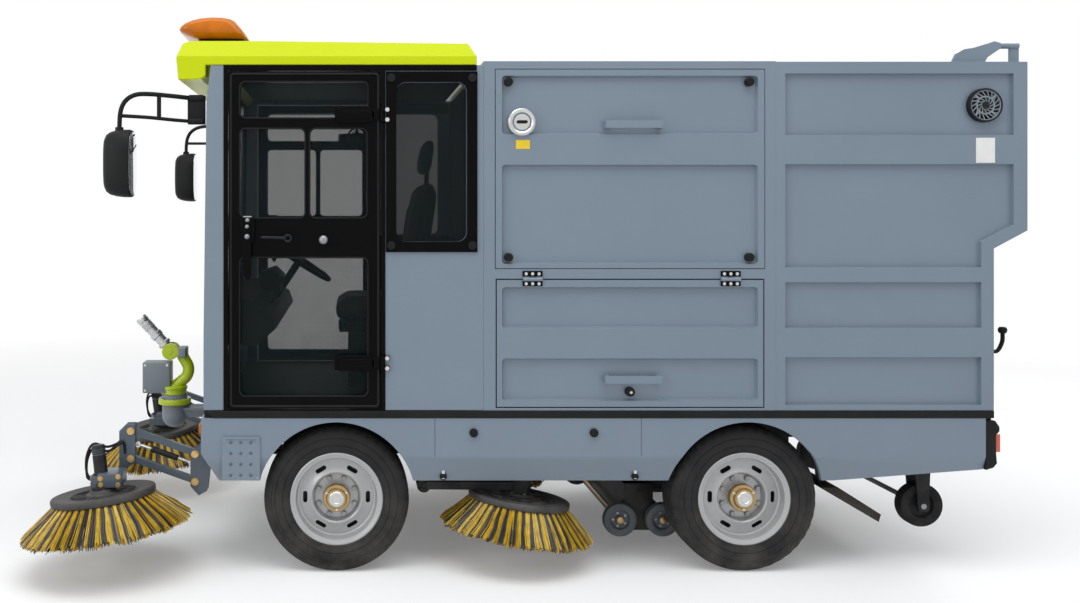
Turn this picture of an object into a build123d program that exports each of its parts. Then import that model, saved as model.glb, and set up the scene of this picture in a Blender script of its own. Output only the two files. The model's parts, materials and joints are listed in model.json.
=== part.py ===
from build123d import *
import os
from math import cos, radians, sin, tan

# Compact road sweeper with a two-door cab, a service bay and a rear hopper.
# X points forward, Y to the machine's left, Z up; the origin is on the ground
# below the middle of the machine. All lengths are in millimetres.

# Body: three boxes in a row on a ladder frame
body_width = 1450
cab_rear_x = 169
cab_length = 1177
mid_length = 1227
hopper_length = 1057
body_wall = 45
deck_top = 693
deck_thickness = 43
body_height = 1467
cab_height = 1451
seam = 5
hinge_clearance = 0.3

# Wheels and ladder frame
front_overhang = 558
wheelbase = 1730
tyre_diameter = 618
tyre_width = 175
tyre_inset = 30
rim_diameter = 392
bead_diameter = 356
rim_width = 152
arch_gap = 25
rail_spacing = 560
rail_width = 60
rail_height = 120
rail_wall = 10
body_mount_height = 40
kingpin_offset = 70
steering_arm = 130
spindle_radius = 20

# Skirts, sills and step
skirt_thickness = 20
skirt_bottom = 389
skirt_fold = 500
skirt_tuck = 38
sill_height = 33
apron_bottom = 519

# Doors, windows and cab fittings
door_length = 638
door_height = 1417
door_front_inset = 106
door_frame = 46
glass_thickness = 6
quarter_gap = 22
quarter_rear_inset = 27
quarter_height = 758
quarter_frame = 44
quarter_frame_depth = 8
window_corner = 24
quarter_corner = 40
scuttle_height = 317
roof_overhang = 115
roof_depth = 113
roof_bevel = 70
light_bar_length = 1100
light_bar_height = 129
seat_setback = 766
seat_base_height = 267
dash_height = 457
wheel_setback = 368
wheel_height = 597
wheel_radius = 170
mirror_out = 125
mirror_depth = 116
mirror_width = 170
mirror_height = 277

# Side panels of the service bay and hopper
panel_front_inset = 50
panel_rear_inset = 48
panel_depth = 34
panel_top_gap = 35
panel_bottom_height = 597
locker_top_height = 548
locker_bottom_height = 15
field_depth = 18
field_border = 27
field_corner = 14
handle_length = 240
handle_bar = 32
battery_gap = 50
battery_half_width = 560
battery_height = 457

# Tailgate
tail_step_x = 141
tail_step_high = 1449
tail_step_low = 1373
tail_pivot_forward = 113
tail_pivot_above = 74
bumper_depth = 59

# Brushes
front_tip_radius = 357
front_tip_height = 188
front_brush_reach = 771.96
front_brush_y = 680
mid_tip_radius = 330
mid_tip_height = 134
mid_brush_behind_axle = 780
mid_brush_y = 540
mid_arm_length = 400
disc_radius = 221
disc_thickness = 28
hub_radius = 60
spoke_count = 5
bristle_drop = 138
bristle_depth = 34
tuft_count = 24
tuft_gap = 9
brush_pitch = 7.4
brush_roll = 4.0
brush_motor_radius = 27

# Front brush linkage, a parallelogram on each side
link_forward = 69
link_low = 346
link_rise = 121
link_length = 299
link_angle = 19.7
link_y = 520
link_width = 24
plate_thickness = 12
pin_radius = 8
eye_radius = 17

# Water monitor on the front of the cab
monitor_forward = 244
drum_radius = 61
drum_bottom = 478
drum_top = 636
barrel_rise = 210
barrel_forward = 17
barrel_radius = 25
barrel_length = 220
barrel_elevation = 47

# Suction nozzle, its support wheels and the rear rollers
nozzle_ahead_of_axle = 370
nozzle_length = 132
nozzle_half_width = 400
nozzle_wheel_radius = 75
nozzle_wheel_z = 150
nozzle_wheel_spacing = 191
duct_radius = 58
roller_radius = 95
roller_ahead_of_tail = 193
roller_z = 237
roller_y = 500
roller_width = 60
sleeve_bottom = 440
blade_ahead = 295
blade_top = 271

# Values that follow from those above
half_width = body_width / 2
cab_front_x = cab_rear_x + cab_length
mid_rear_x = cab_rear_x - mid_length
hopper_rear_x = mid_rear_x - hopper_length
front_axle_x = cab_front_x - front_overhang
rear_axle_x = front_axle_x - wheelbase
axle_z = tyre_diameter / 2
wheel_y = half_width - tyre_inset - tyre_width / 2
arch_radius = axle_z + arch_gap
deck_bottom = deck_top - deck_thickness
rail_top = deck_bottom - body_mount_height
rail_bottom = rail_top - rail_height
rail_y = rail_spacing / 2
rail_outer = rail_y + rail_width / 2
kingpin_y = wheel_y - kingpin_offset
tail_x = hopper_rear_x + tail_step_x
body_top = deck_top + body_height
cab_top = deck_top + cab_height
door_front_x = cab_front_x - door_front_inset
door_rear_x = door_front_x - door_length
door_bottom = deck_top + 7
door_top = door_bottom + door_height
quarter_front_x = door_rear_x - quarter_gap
quarter_rear_x = cab_rear_x + quarter_rear_inset
quarter_top = door_top - 1
quarter_bottom = quarter_top - quarter_height
windscreen_bottom = deck_top + scuttle_height
roof_top = cab_top + roof_depth
panel_front_x = cab_rear_x - panel_front_inset
panel_rear_x = mid_rear_x + panel_rear_inset
panel_middle_x = (panel_front_x + panel_rear_x) / 2
panel_top = body_top - panel_top_gap
panel_bottom = deck_top + panel_bottom_height
locker_top = deck_top + locker_top_height
locker_bottom = deck_top + locker_bottom_height
inner_wall_y = half_width - body_wall
skirt_front_x = cab_front_x + 11
seat_x = cab_front_x - seat_setback
mid_brush_x = front_axle_x - mid_brush_behind_axle
nozzle_x = rear_axle_x + nozzle_ahead_of_axle
roller_x = tail_x + roller_ahead_of_tail
monitor_x = cab_front_x + monitor_forward
barrel_x = monitor_x + barrel_forward
barrel_z = drum_top + barrel_rise
mid_pivot_x = mid_brush_x + mid_arm_length
mid_pivot_z = rail_bottom - 160
front_brush_x = cab_front_x + front_brush_reach - front_tip_radius
sides = (1, -1)


def side_plane(y):
    # Sketch plane facing the machine's left, with X forward and Z up
    return Plane.XZ.offset(-y)


def slab(points, y_low, y_high, mode=Mode.ADD):
    # Outline in X and Z, thick across the machine
    with BuildSketch(side_plane(y_high)) as outline:
        with BuildLine():
            Polyline(*points, close=True)
        make_face()
    extrude(outline.sketch, amount=y_high - y_low, mode=mode)


def block(x_low, x_high, y_low, y_high, z_low, z_high, mode=Mode.ADD):
    with BuildSketch(Plane.XY.offset(z_low)) as footprint:
        with Locations(((x_low + x_high) / 2, (y_low + y_high) / 2)):
            Rectangle(x_high - x_low, y_high - y_low)
    extrude(footprint.sketch, amount=z_high - z_low, mode=mode)


def crossbar(x, z, radius, y_low, y_high, mode=Mode.ADD):
    # Round bar or bore across the machine
    with BuildSketch(side_plane(y_high)) as circle:
        with Locations((x, z)):
            Circle(radius)
    extrude(circle.sketch, amount=y_high - y_low, mode=mode)


def window(x_low, x_high, y_low, y_high, z_low, z_high, corner, mode=Mode.SUBTRACT):
    # Opening with round corners through a side wall, or the pane that fills it
    with BuildSketch(side_plane(y_high)) as outline:
        with Locations(((x_low + x_high) / 2, (z_low + z_high) / 2)):
            RectangleRounded(x_high - x_low, z_high - z_low, corner)
    extrude(outline.sketch, amount=y_high - y_low, mode=mode)


def post(x, y, radius, z_low, z_high, mode=Mode.ADD):
    with BuildSketch(Plane.XY.offset(z_low)) as circle:
        with Locations((x, y)):
            Circle(radius)
    extrude(circle.sketch, amount=z_high - z_low, mode=mode)


def tube(start, end, radius, mode=Mode.ADD):
    # Straight round bar between two points
    way = Vector(*end) - Vector(*start)
    with BuildSketch(Plane(origin=start, z_dir=way)) as circle:
        Circle(radius)
    extrude(circle.sketch, amount=way.length, mode=mode)


def other_side(piece):
    with BuildPart() as twin:
        mirror(piece.part, about=Plane.XZ)
    return twin


def both_sides(piece):
    with BuildPart() as pair:
        add(piece.part)
        mirror(piece.part, about=Plane.XZ)
    return pair


pieces = {}

# Ladder frame: two channel rails joined by crossmembers, with rubber body mounts on top
rail_front_x = cab_front_x - 6
link_x = rail_front_x + link_forward
rail_rear_x = tail_x + 20
crossmember_x = (front_axle_x + 432, front_axle_x + 10, cab_rear_x + 230, cab_rear_x - 170, nozzle_x + 150,
                 rear_axle_x + 10, rear_axle_x - 420, rear_axle_x - 840)
blade_half = rail_y + 60
with BuildPart() as ladder_frame:
    for side in sides:
        near, far = side * (rail_y - rail_width / 2), side * rail_outer
        block(rail_rear_x, rail_front_x, min(near, far), max(near, far), rail_bottom, rail_top)
        near, far = side * (rail_y - rail_width / 2 - 1), side * (rail_outer - rail_wall)
        block(rail_rear_x - 1, rail_front_x + 1, min(near, far), max(near, far),
              rail_bottom + rail_wall, rail_top - rail_wall, Mode.SUBTRACT)
    for x in crossmember_x:
        block(x - 30, x + 30, rail_wall - rail_outer, rail_outer - rail_wall,
              rail_bottom + rail_wall, rail_top - rail_wall)
    for x in (front_axle_x + 432, front_axle_x - 168, cab_rear_x - 69, nozzle_x + 172, rear_axle_x - 208,
              rear_axle_x - 858):
        for side in sides:
            post(x, side * rail_y, 26, rail_top, deck_bottom)
    # Hangers for the side brush arms
    for side in sides:
        near, far = side * rail_outer, side * (rail_outer + 24)
        slab([(mid_pivot_x - 60, rail_bottom + 100), (mid_pivot_x + 60, rail_bottom + 100),
              (mid_pivot_x + 26, mid_pivot_z - 26), (mid_pivot_x - 26, mid_pivot_z - 26)],
             min(near, far), max(near, far))
        near, far = side * (rail_outer + 10), side * (mid_brush_y + 14)
        crossbar(mid_pivot_x, mid_pivot_z, 12, min(near, far), max(near, far))
    # Dirt blade ahead of the rollers, hung from two hangers
    blade_x = roller_x + blade_ahead
    slab([(blade_x, blade_top), (blade_x + 74, blade_top), (blade_x - 190, blade_top - 151),
          (blade_x - 196, blade_top - 121)], -blade_half, blade_half)
    for side in sides:
        y_low, y_high = sorted((side * (rail_y - 14), side * (rail_y + 14)))
        slab([(blade_x + 10, rail_bottom), (blade_x + 70, rail_bottom), (blade_x + 52, blade_top - 5),
              (blade_x + 18, blade_top - 5)], y_low, y_high)
pieces["ladder_frame"] = ladder_frame

# Front beam with the two pairs of plates that carry the brush links
beam_low = apron_bottom - 79
link_high = link_low + link_rise
with BuildPart() as front_beam:
    block(rail_front_x, rail_front_x + 40, -link_y - 40, link_y + 40, beam_low, beam_low + 75)
    for side in sides:
        for y in (link_y - link_width / 2 - plate_thickness - 1, link_y + link_width / 2 + 1):
            y_low, y_high = sorted((side * y, side * (y + plate_thickness)))
            slab([(rail_front_x, beam_low + 70), (rail_front_x + 40, beam_low + 70),
                  (link_x + 20, link_high + 14), (link_x + 20, link_low - 20), (link_x - 16, link_low - 60),
                  (rail_front_x + 16, link_low - 40), (rail_front_x, beam_low)], y_low, y_high)
        y_low, y_high = sorted((side * (link_y - 30), side * (link_y + 30)))
        crossbar(link_x, link_low, pin_radius, y_low, y_high)
        crossbar(link_x, link_high, pin_radius, y_low, y_high)
    # Tow lug ahead of the beam, with an upright pin hole
    block(rail_front_x + 40, rail_front_x + 110, -32, 32, beam_low + 26, beam_low + 50)
    post(rail_front_x + 75, 0, 14, beam_low + 25, beam_low + 51, Mode.SUBTRACT)
pieces["front_beam"] = front_beam

# Deck under the cab and the body, with the suction sleeve and the roller forks below it
with BuildPart() as deck:
    block(tail_x, cab_front_x, -half_width + skirt_thickness, half_width - skirt_thickness,
          deck_bottom, deck_top)
    post(nozzle_x, 0, duct_radius + 16, sleeve_bottom, deck_top + 157)
    post(nozzle_x, 0, duct_radius + 6, sleeve_bottom - 1, deck_top + 158, Mode.SUBTRACT)
    for side in sides:
        for y in (roller_y - roller_width / 2 - 13, roller_y + roller_width / 2 + 3):
            near, far = side * y, side * (y + 10)
            slab([(roller_x - 40, deck_bottom), (roller_x + 60, deck_bottom), (roller_x + 22, roller_z - 22),
                  (roller_x - 22, roller_z - 22)], min(near, far), max(near, far))
            near, far = side * (y - 1), side * (y + 11)
            crossbar(roller_x, roller_z, 12 + hinge_clearance, min(near, far), max(near, far), Mode.SUBTRACT)
pieces["deck"] = deck

# Sill trim between the body and the skirts
with BuildPart() as sill_left:
    slab([(tail_x, deck_top - sill_height), (cab_front_x - 40, deck_top - sill_height),
          (cab_front_x, deck_top), (tail_x, deck_top)],
         half_width - skirt_thickness, half_width + 4)

# Skirts: the lower edge folds inward, and the wheel arches are open
skirt_top = deck_top - sill_height


def skirt_section(x):
    with BuildSketch(Plane(origin=(x, 0, 0), x_dir=(0, 1, 0), z_dir=(1, 0, 0))) as section:
        with BuildLine():
            Polyline((half_width, skirt_top), (half_width, skirt_fold),
                     (half_width - skirt_tuck, skirt_bottom),
                     (half_width - skirt_tuck - skirt_thickness, skirt_bottom),
                     (half_width - skirt_thickness, skirt_fold + 4),
                     (half_width - skirt_thickness, skirt_top), close=True)
        make_face()
    return section.sketch


skirt_rear_x = tail_x + 34
panel_seam_front_x = front_axle_x - 414
panel_seam_rear_x = rear_axle_x + 449
with BuildPart() as skirt_left:
    extrude(skirt_section(skirt_rear_x), amount=skirt_front_x - skirt_rear_x)
    for x in (front_axle_x, rear_axle_x):
        crossbar(x, axle_z, arch_radius, 0, half_width + 1, Mode.SUBTRACT)
    # The skirt ends rise towards the apron and the rear bumper
    slab([(skirt_front_x - 75, skirt_bottom - 5), (skirt_front_x + 5, skirt_bottom - 5),
          (skirt_front_x + 5, apron_bottom)], half_width - 100, half_width + 1, Mode.SUBTRACT)
    slab([(rear_axle_x - arch_radius + 20, skirt_bottom - 5), (skirt_rear_x - 5, skirt_bottom - 5),
          (skirt_rear_x - 5, skirt_bottom + 52)], half_width - 100, half_width + 1, Mode.SUBTRACT)
    # Seams at both ends of the removable middle panel
    for x in (panel_seam_front_x, panel_seam_rear_x):
        block(x - 2, x + 2, half_width - 3, half_width + 1, skirt_fold + 2, skirt_top + 1, Mode.SUBTRACT)

with BuildPart() as apron:
    block(cab_front_x, skirt_front_x, -half_width + skirt_thickness, half_width - skirt_thickness,
          apron_bottom, skirt_top)

lamp_bottom = deck_top - 182
lamp_top = deck_top - 103
with BuildPart() as rear_bumper:
    # The bumper is waisted where the tail lamps sit
    slab([(skirt_rear_x, deck_bottom), (skirt_rear_x - bumper_depth + 18, deck_bottom),
          (skirt_rear_x - bumper_depth, lamp_top + 34), (skirt_rear_x - bumper_depth, lamp_top + 14),
          (skirt_rear_x - bumper_depth + 14, lamp_top), (skirt_rear_x - bumper_depth + 14, lamp_bottom),
          (skirt_rear_x - bumper_depth + 10, skirt_bottom + 81),
          (skirt_rear_x - bumper_depth + 26, skirt_bottom + 62), (skirt_rear_x, skirt_bottom + 52)],
         -half_width, half_width)
    slab([(skirt_rear_x + 1, deck_bottom - 30), (skirt_rear_x - 26, deck_bottom - 30),
          (skirt_rear_x - 26, skirt_bottom + 51), (skirt_rear_x + 1, skirt_bottom + 41)],
         -half_width + 20, half_width - 20, Mode.SUBTRACT)
with BuildPart() as dark_trim:
    add(rear_bumper.part)
    add(sill_left.part)
    mirror(sill_left.part, about=Plane.XZ)
pieces["sill_and_bumper"] = dark_trim

# Step plate ahead of the front wheel, with drilled treads
with BuildPart() as step_left:
    step_x = front_axle_x + 400
    step_z = deck_top - 202
    block(step_x - 80, step_x + 80, half_width - skirt_tuck, half_width + 6, step_z - 91, step_z + 91)
    with BuildSketch(side_plane(half_width + 6)) as holes:
        with Locations((step_x, step_z)):
            with GridLocations(42, 46, 3, 4):
                Circle(7)
    extrude(holes.sketch, amount=6, mode=Mode.SUBTRACT)
with BuildPart() as skirts:
    add(apron.part)
    for piece in (skirt_left, step_left):
        add(piece.part)
        mirror(piece.part, about=Plane.XZ)
pieces["skirts"] = skirts

# Cab sides: pillars and rails round the door and the quarter window
with BuildPart() as cab_side_left:
    slab([(cab_rear_x, deck_top), (cab_front_x, deck_top), (cab_front_x, windscreen_bottom),
          (cab_front_x - 12, cab_top - 160), (cab_front_x - 30, cab_top), (cab_rear_x, cab_top)],
         inner_wall_y, half_width)
    block(door_rear_x - seam, door_front_x + seam, inner_wall_y - 1, half_width + 1,
          door_bottom - seam, door_top + seam, Mode.SUBTRACT)
    window(quarter_rear_x + quarter_frame, quarter_front_x - quarter_frame, inner_wall_y - 1, half_width + 1,
           quarter_bottom + quarter_frame, quarter_top - quarter_frame, quarter_corner)

with BuildPart() as quarter_left:
    block(quarter_rear_x, quarter_front_x, half_width, half_width + quarter_frame_depth,
          quarter_bottom, quarter_top)
    window(quarter_rear_x + quarter_frame, quarter_front_x - quarter_frame, half_width - 1, half_width + 20,
           quarter_bottom + quarter_frame, quarter_top - quarter_frame, quarter_corner)

# Front of the cab: lower panel and header, with the windscreen between them
with BuildPart() as cab_shell:
    block(cab_front_x - body_wall, cab_front_x, -inner_wall_y, inner_wall_y, deck_top, windscreen_bottom)
    add(cab_side_left.part)
    mirror(cab_side_left.part, about=Plane.XZ)
pieces["cab_shell"] = cab_shell

with BuildPart() as cab_glass:
    slab([(cab_front_x - 20, windscreen_bottom), (cab_front_x - 20 + glass_thickness, windscreen_bottom),
          (cab_front_x - 44 + glass_thickness, cab_top - 35), (cab_front_x - 44, cab_top - 35)],
         -inner_wall_y, inner_wall_y)
    for side in sides:
        y_low, y_high = sorted((side * (half_width - 26), side * (half_width - 20)))
        window(quarter_rear_x + quarter_frame, quarter_front_x - quarter_frame, y_low, y_high,
               quarter_bottom + quarter_frame, quarter_top - quarter_frame, quarter_corner, Mode.ADD)
pieces["cab_glass"] = cab_glass

# Roof cap with a front visor that carries the lamp
roof_front_x = cab_front_x + roof_overhang
with BuildPart() as roof_cap:
    slab([(cab_rear_x + 29, cab_top), (cab_front_x - 81, cab_top), (cab_front_x - 60, cab_top - 30),
          (cab_front_x - 28, cab_top - 32), (cab_front_x + 12, cab_top - 60),
          (roof_front_x - 9, cab_top - 63), (roof_front_x, cab_top + 30), (roof_front_x - 18, cab_top + 100),
          (cab_front_x + 60, roof_top), (cab_front_x - 186, roof_top), (cab_rear_x + 60, roof_top - 14),
          (cab_rear_x + 29, cab_top + 35)],
         -half_width - 4, half_width + 4)
    # The upper half of the cap leans inward on both sides
    for side in sides:
        with BuildSketch(Plane(origin=(cab_rear_x, 0, 0), x_dir=(0, 1, 0), z_dir=(1, 0, 0))) as bevel:
            with BuildLine():
                Polyline((side * (half_width + 5), cab_top + 38),
                         (side * (half_width - roof_bevel), roof_top + 1),
                         (side * (half_width + 5), roof_top + 1), close=True)
            make_face()
        extrude(bevel.sketch, amount=cab_length + roof_overhang, mode=Mode.SUBTRACT)
    slab([(cab_rear_x + 29, cab_top - 1), (cab_front_x - 91, cab_top - 1), (cab_front_x - 91, cab_top + 70),
          (cab_rear_x + 69, cab_top + 70), (cab_rear_x + 69, cab_top + 20), (cab_rear_x + 29, cab_top)],
         -inner_wall_y + 20, inner_wall_y - 20, Mode.SUBTRACT)
    # The visor drops only between the cab's front corners
    for side in sides:
        y_low, y_high = sorted((side * (half_width - 60), side * (half_width + 10)))
        slab([(cab_front_x - 81, cab_top), (cab_front_x - 8, cab_top), (cab_front_x - 8, cab_top - 80),
              (cab_front_x - 81, cab_top - 80)], y_low, y_high, Mode.SUBTRACT)
pieces["roof_cap"] = roof_cap

with BuildPart() as light_bar:
    bar_top = roof_top + light_bar_height
    bar_bottom = roof_top + 33
    slab([(cab_front_x + 140, bar_bottom + 28), (cab_front_x + 132, bar_top - 34),
          (cab_front_x + 104, bar_top), (cab_front_x - 91, bar_top), (cab_front_x - 165, bar_bottom),
          (cab_front_x + 74, bar_bottom)],
         -light_bar_length / 2, light_bar_length / 2)
    for y in (-350, 350):
        block(cab_front_x - 131, cab_front_x - 1, y - 40, y + 40, roof_top, bar_bottom + 2)
pieces["light_bar"] = light_bar

# Cab fittings
with BuildPart() as dashboard:
    dash_top = deck_top + dash_height
    slab([(cab_front_x - body_wall, dash_top - 190), (cab_front_x - 220, dash_top - 190),
          (cab_front_x - 300, dash_top - 120), (cab_front_x - 280, dash_top - 60),
          (cab_front_x - 200, dash_top), (cab_front_x - body_wall - 8, dash_top + 10),
          (cab_front_x - body_wall - 8, windscreen_bottom),
          (cab_front_x - body_wall, windscreen_bottom)], -inner_wall_y + 10, inner_wall_y - 10)
    # Steering column with a three-spoke wheel
    wheel_hub = Vector(cab_front_x - wheel_setback, 0, deck_top + wheel_height)
    column_foot = Vector(cab_front_x - 250, 0, dash_top - 40)
    column_way = (wheel_hub - column_foot).normalized()
    wheel_up = Vector(-column_way.Z, 0, column_way.X) * -1
    tube(tuple(column_foot), tuple(wheel_hub), 18)
    with BuildSketch(Plane(origin=wheel_hub, z_dir=column_way, x_dir=(0, 1, 0))) as hub:
        Circle(40)
        with PolarLocations(wheel_radius / 2, 3):
            Rectangle(wheel_radius, 26)
    extrude(hub.sketch, amount=14)
    with BuildSketch(Plane(origin=wheel_hub, z_dir=(0, 1, 0), x_dir=wheel_up)) as rim_section:
        with Locations((wheel_radius, 0)):
            Circle(12)
    revolve(rim_section.sketch, axis=Axis(wheel_hub, column_way))
pieces["dashboard"] = dashboard

seat_base_top = deck_top + seat_base_height
with BuildPart() as seat_base:
    block(seat_x - 160, seat_x + 160, -170, 170, deck_top, seat_base_top)
    block(seat_x - 190, seat_x + 200, -190, 190, seat_base_top, seat_base_top + 50)
pieces["seat_base"] = seat_base

# Seat: cushion, reclined back with side bolsters, and headrest on two stems
cushion_low = seat_base_top + 50
cushion_top = cushion_low + 110
back_top = cushion_top + 560
with BuildPart() as seat_cushion:
    block(seat_x - 210, seat_x + 240, -245, 245, cushion_low, cushion_top)
    fillet(seat_cushion.edges().filter_by(Axis.Z), 50)
    slab([(seat_x - 190, cushion_top), (seat_x - 90, cushion_top), (seat_x - 100, cushion_top + 160),
          (seat_x - 180, back_top), (seat_x - 270, back_top)], -225, 225)
    for side in sides:
        y_low, y_high = sorted((side * 175, side * 225))
        slab([(seat_x - 100, cushion_top + 60), (seat_x - 76, cushion_top + 100),
              (seat_x - 110, cushion_top + 400), (seat_x - 170, cushion_top + 470)], y_low, y_high)
        tube((seat_x - 222, side * 70, back_top - 20), (seat_x - 222, side * 70, back_top + 40), 8)
    slab([(seat_x - 235, back_top + 20), (seat_x - 175, back_top + 20), (seat_x - 205, back_top + 200),
          (seat_x - 265, back_top + 200)], -140, 140)
pieces["seat"] = seat_cushion

# Door with its window frame; it hinges on the rear edge
hinge_x = door_rear_x - 6
hinge_y = half_width + 10
hinge_heights = (door_bottom + 193, door_top - 183)
# Windows in the door: rear and front edge from its rear edge, low and high edge from its foot
door_windows = ((54, 591, 1222, 1373), (318, 591, 802, 1176), (58, 297, 802, 1176), (54, 591, 54, 634))
with BuildPart() as door_left:
    block(door_rear_x, door_front_x, inner_wall_y, half_width, door_bottom, door_top)
    block(door_rear_x + door_frame, door_front_x - door_frame, inner_wall_y - 1, half_width - 20,
          door_bottom + door_frame, door_top - door_frame, Mode.SUBTRACT)
    for rear, front, low, high in door_windows:
        window(door_rear_x + rear, door_rear_x + front, inner_wall_y - 1, half_width + 1,
               door_bottom + low, door_bottom + high, window_corner)
    # Strap hinges run along the outer face and end in the middle knuckles
    for z in hinge_heights:
        block(hinge_x, hinge_x + 199, half_width, half_width + 6, z - 30, z + 30)
        post(hinge_x, hinge_y, 9, z - 12, z + 12)
        block(hinge_x - 12, hinge_x + 12, half_width - 60, half_width + 30, z - 40, z - 12, Mode.SUBTRACT)
        block(hinge_x - 12, hinge_x + 12, half_width - 60, half_width + 30, z + 12, z + 40, Mode.SUBTRACT)
        post(hinge_x, hinge_y, 5 + hinge_clearance, z - 13, z + 13, Mode.SUBTRACT)
    # Latch handle, pull bar and knob
    latch_z = door_bottom + 739
    block(door_front_x - 106, door_front_x - 56, half_width, half_width + 14, latch_z - 43, latch_z + 63)
    block(door_front_x - 92, door_front_x - 68, half_width + 14, half_width + 26, latch_z - 89, latch_z + 51)
    crossbar(door_rear_x + 240, latch_z - 29, 20, half_width, half_width + 18)
pieces["door_left"] = door_left
pieces["door_right"] = other_side(door_left)

with BuildPart() as door_glass_left:
    block(door_rear_x + door_frame, door_front_x - door_frame, half_width - 26, half_width - 20,
          door_bottom + door_frame, door_top - door_frame)
pieces["door_glass_left"] = door_glass_left
pieces["door_glass_right"] = other_side(door_glass_left)

with BuildPart() as fixed_hinges:
    add(quarter_left.part)
    for z in hinge_heights:
        for low, high in ((z - 30, z - 12.5), (z + 12.5, z + 30)):
            post(hinge_x, hinge_y, 9, low, high)
            block(hinge_x - 32, hinge_x, half_width + 2, half_width + 16, low, high)
            block(hinge_x - 32, hinge_x - 16, half_width, half_width + 3, low, high)
        post(hinge_x, hinge_y, 5, z - 30, z + 30)
pieces["quarter_frames"] = both_sides(fixed_hinges)

# Service bay: an open-bottomed box with a locker opening low on each side
with BuildPart() as mid_body:
    block(mid_rear_x, cab_rear_x, -half_width, half_width, deck_top, body_top)
    block(mid_rear_x + body_wall, cab_rear_x - body_wall, -inner_wall_y, inner_wall_y,
          deck_top - 1, body_top - body_wall, Mode.SUBTRACT)
    block(panel_rear_x, panel_front_x, -half_width - 1, half_width + 1, locker_bottom - seam,
          locker_top + seam, Mode.SUBTRACT)
    for side in sides:
        y_low, y_high = sorted((side * (half_width - panel_depth), side * (half_width + 1)))
        block(panel_rear_x - 3, panel_front_x + 3, y_low, y_high, panel_bottom - 3, panel_top + 3,
              Mode.SUBTRACT)


def pressed_field(low, high):
    # Recessed field with sloping sides, as wide as the panel allows
    with BuildSketch(side_plane(half_width)) as field:
        with Locations((panel_middle_x, (low + high) / 2)):
            RectangleRounded(panel_front_x - panel_rear_x - 2 * field_border, high - low, field_corner)
    extrude(field.sketch, amount=field_depth, taper=20, mode=Mode.SUBTRACT)


def bow_handle(x, z):
    # Flat bar on two feet, standing in a pressed field
    half = handle_length / 2
    slab([(x - half, z - handle_bar / 2), (x + half, z - handle_bar / 2), (x + half, z + handle_bar / 2),
          (x - half, z + handle_bar / 2)], half_width - field_depth, half_width + 24)
    slab([(x - half + 20, z - handle_bar), (x + half - 20, z - handle_bar), (x + half - 20, z + handle_bar),
          (x - half + 20, z + handle_bar)], half_width - field_depth, half_width + 14, Mode.SUBTRACT)


# Pressed outer panel above the locker, with two recessed fields
with BuildPart() as upper_panel_left:
    block(panel_rear_x, panel_front_x, half_width - panel_depth, half_width, panel_bottom, panel_top)
    for low, high in ((panel_bottom + 18, panel_top - 400), (panel_top - 272, panel_top - 26)):
        pressed_field(low, high)
    bow_handle(panel_middle_x - 13, panel_top - 231)
    # Filler cap in its ring
    filler_z = panel_top - 221
    crossbar(panel_front_x - 109, filler_z, 58, half_width - field_depth, half_width + 12)
    crossbar(panel_front_x - 109, filler_z, 36, half_width + 4, half_width + 13, Mode.SUBTRACT)
pieces["upper_panels"] = both_sides(upper_panel_left)

# Locker door, hinged along its top edge
locker_hinge_z = locker_top + 3
locker_hinge_y = half_width + 8
locker_hinge_x = (panel_front_x - 154, panel_rear_x + 144)
with BuildPart() as locker_door_left:
    block(panel_rear_x + seam, panel_front_x - seam, inner_wall_y, half_width, locker_bottom, locker_top)
    for low, high in ((locker_bottom + 25, locker_bottom + 203), (locker_top - 203, locker_top - 30)):
        pressed_field(low, high)
    for x in locker_hinge_x:
        block(x - 41, x + 41, half_width, half_width + 5, locker_top - 26, locker_hinge_z)
        with BuildSketch(Plane(origin=(x - 13, 0, 0), x_dir=(0, 1, 0), z_dir=(1, 0, 0))) as knuckle:
            with Locations((locker_hinge_y, locker_hinge_z)):
                Circle(8)
                Circle(4 + hinge_clearance, mode=Mode.SUBTRACT)
        extrude(knuckle.sketch, amount=26)
        for low, high in ((x - 42, x - 13), (x + 13, x + 42)):
            block(low, high, half_width - 2, half_width + 30, locker_hinge_z - 9, locker_hinge_z + 9,
                  Mode.SUBTRACT)
        with BuildSketch(Plane(origin=(x - 14, 0, 0), x_dir=(0, 1, 0), z_dir=(1, 0, 0))) as bore:
            with Locations((locker_hinge_y, locker_hinge_z)):
                Circle(4 + hinge_clearance)
        extrude(bore.sketch, amount=28, mode=Mode.SUBTRACT)
    bow_handle(panel_middle_x - 10, locker_bottom + 117)
    crossbar(panel_middle_x, locker_bottom + 63, 18, half_width - field_depth, half_width + 4)
pieces["locker_door_left"] = locker_door_left
pieces["locker_door_right"] = other_side(locker_door_left)

with BuildPart() as locker_hinge_left:
    for x in locker_hinge_x:
        block(x - 41, x + 41, half_width, half_width + 5, locker_hinge_z + 10, locker_hinge_z + 34)
        for low, high in ((x - 41, x - 13.5), (x + 13.5, x + 41)):
            block(low, high, half_width + 1, half_width + 6, locker_hinge_z, locker_hinge_z + 12)
            with BuildSketch(Plane(origin=(low, 0, 0), x_dir=(0, 1, 0), z_dir=(1, 0, 0))) as knuckle:
                with Locations((locker_hinge_y, locker_hinge_z)):
                    Circle(8)
            extrude(knuckle.sketch, amount=high - low)
        with BuildSketch(Plane(origin=(x - 41, 0, 0), x_dir=(0, 1, 0), z_dir=(1, 0, 0))) as pin:
            with Locations((locker_hinge_y, locker_hinge_z)):
                Circle(4)
        extrude(pin.sketch, amount=82)
with BuildPart() as service_bay:
    add(mid_body.part)
    add(locker_hinge_left.part)
    mirror(locker_hinge_left.part, about=Plane.XZ)
pieces["mid_body"] = service_bay

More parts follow.
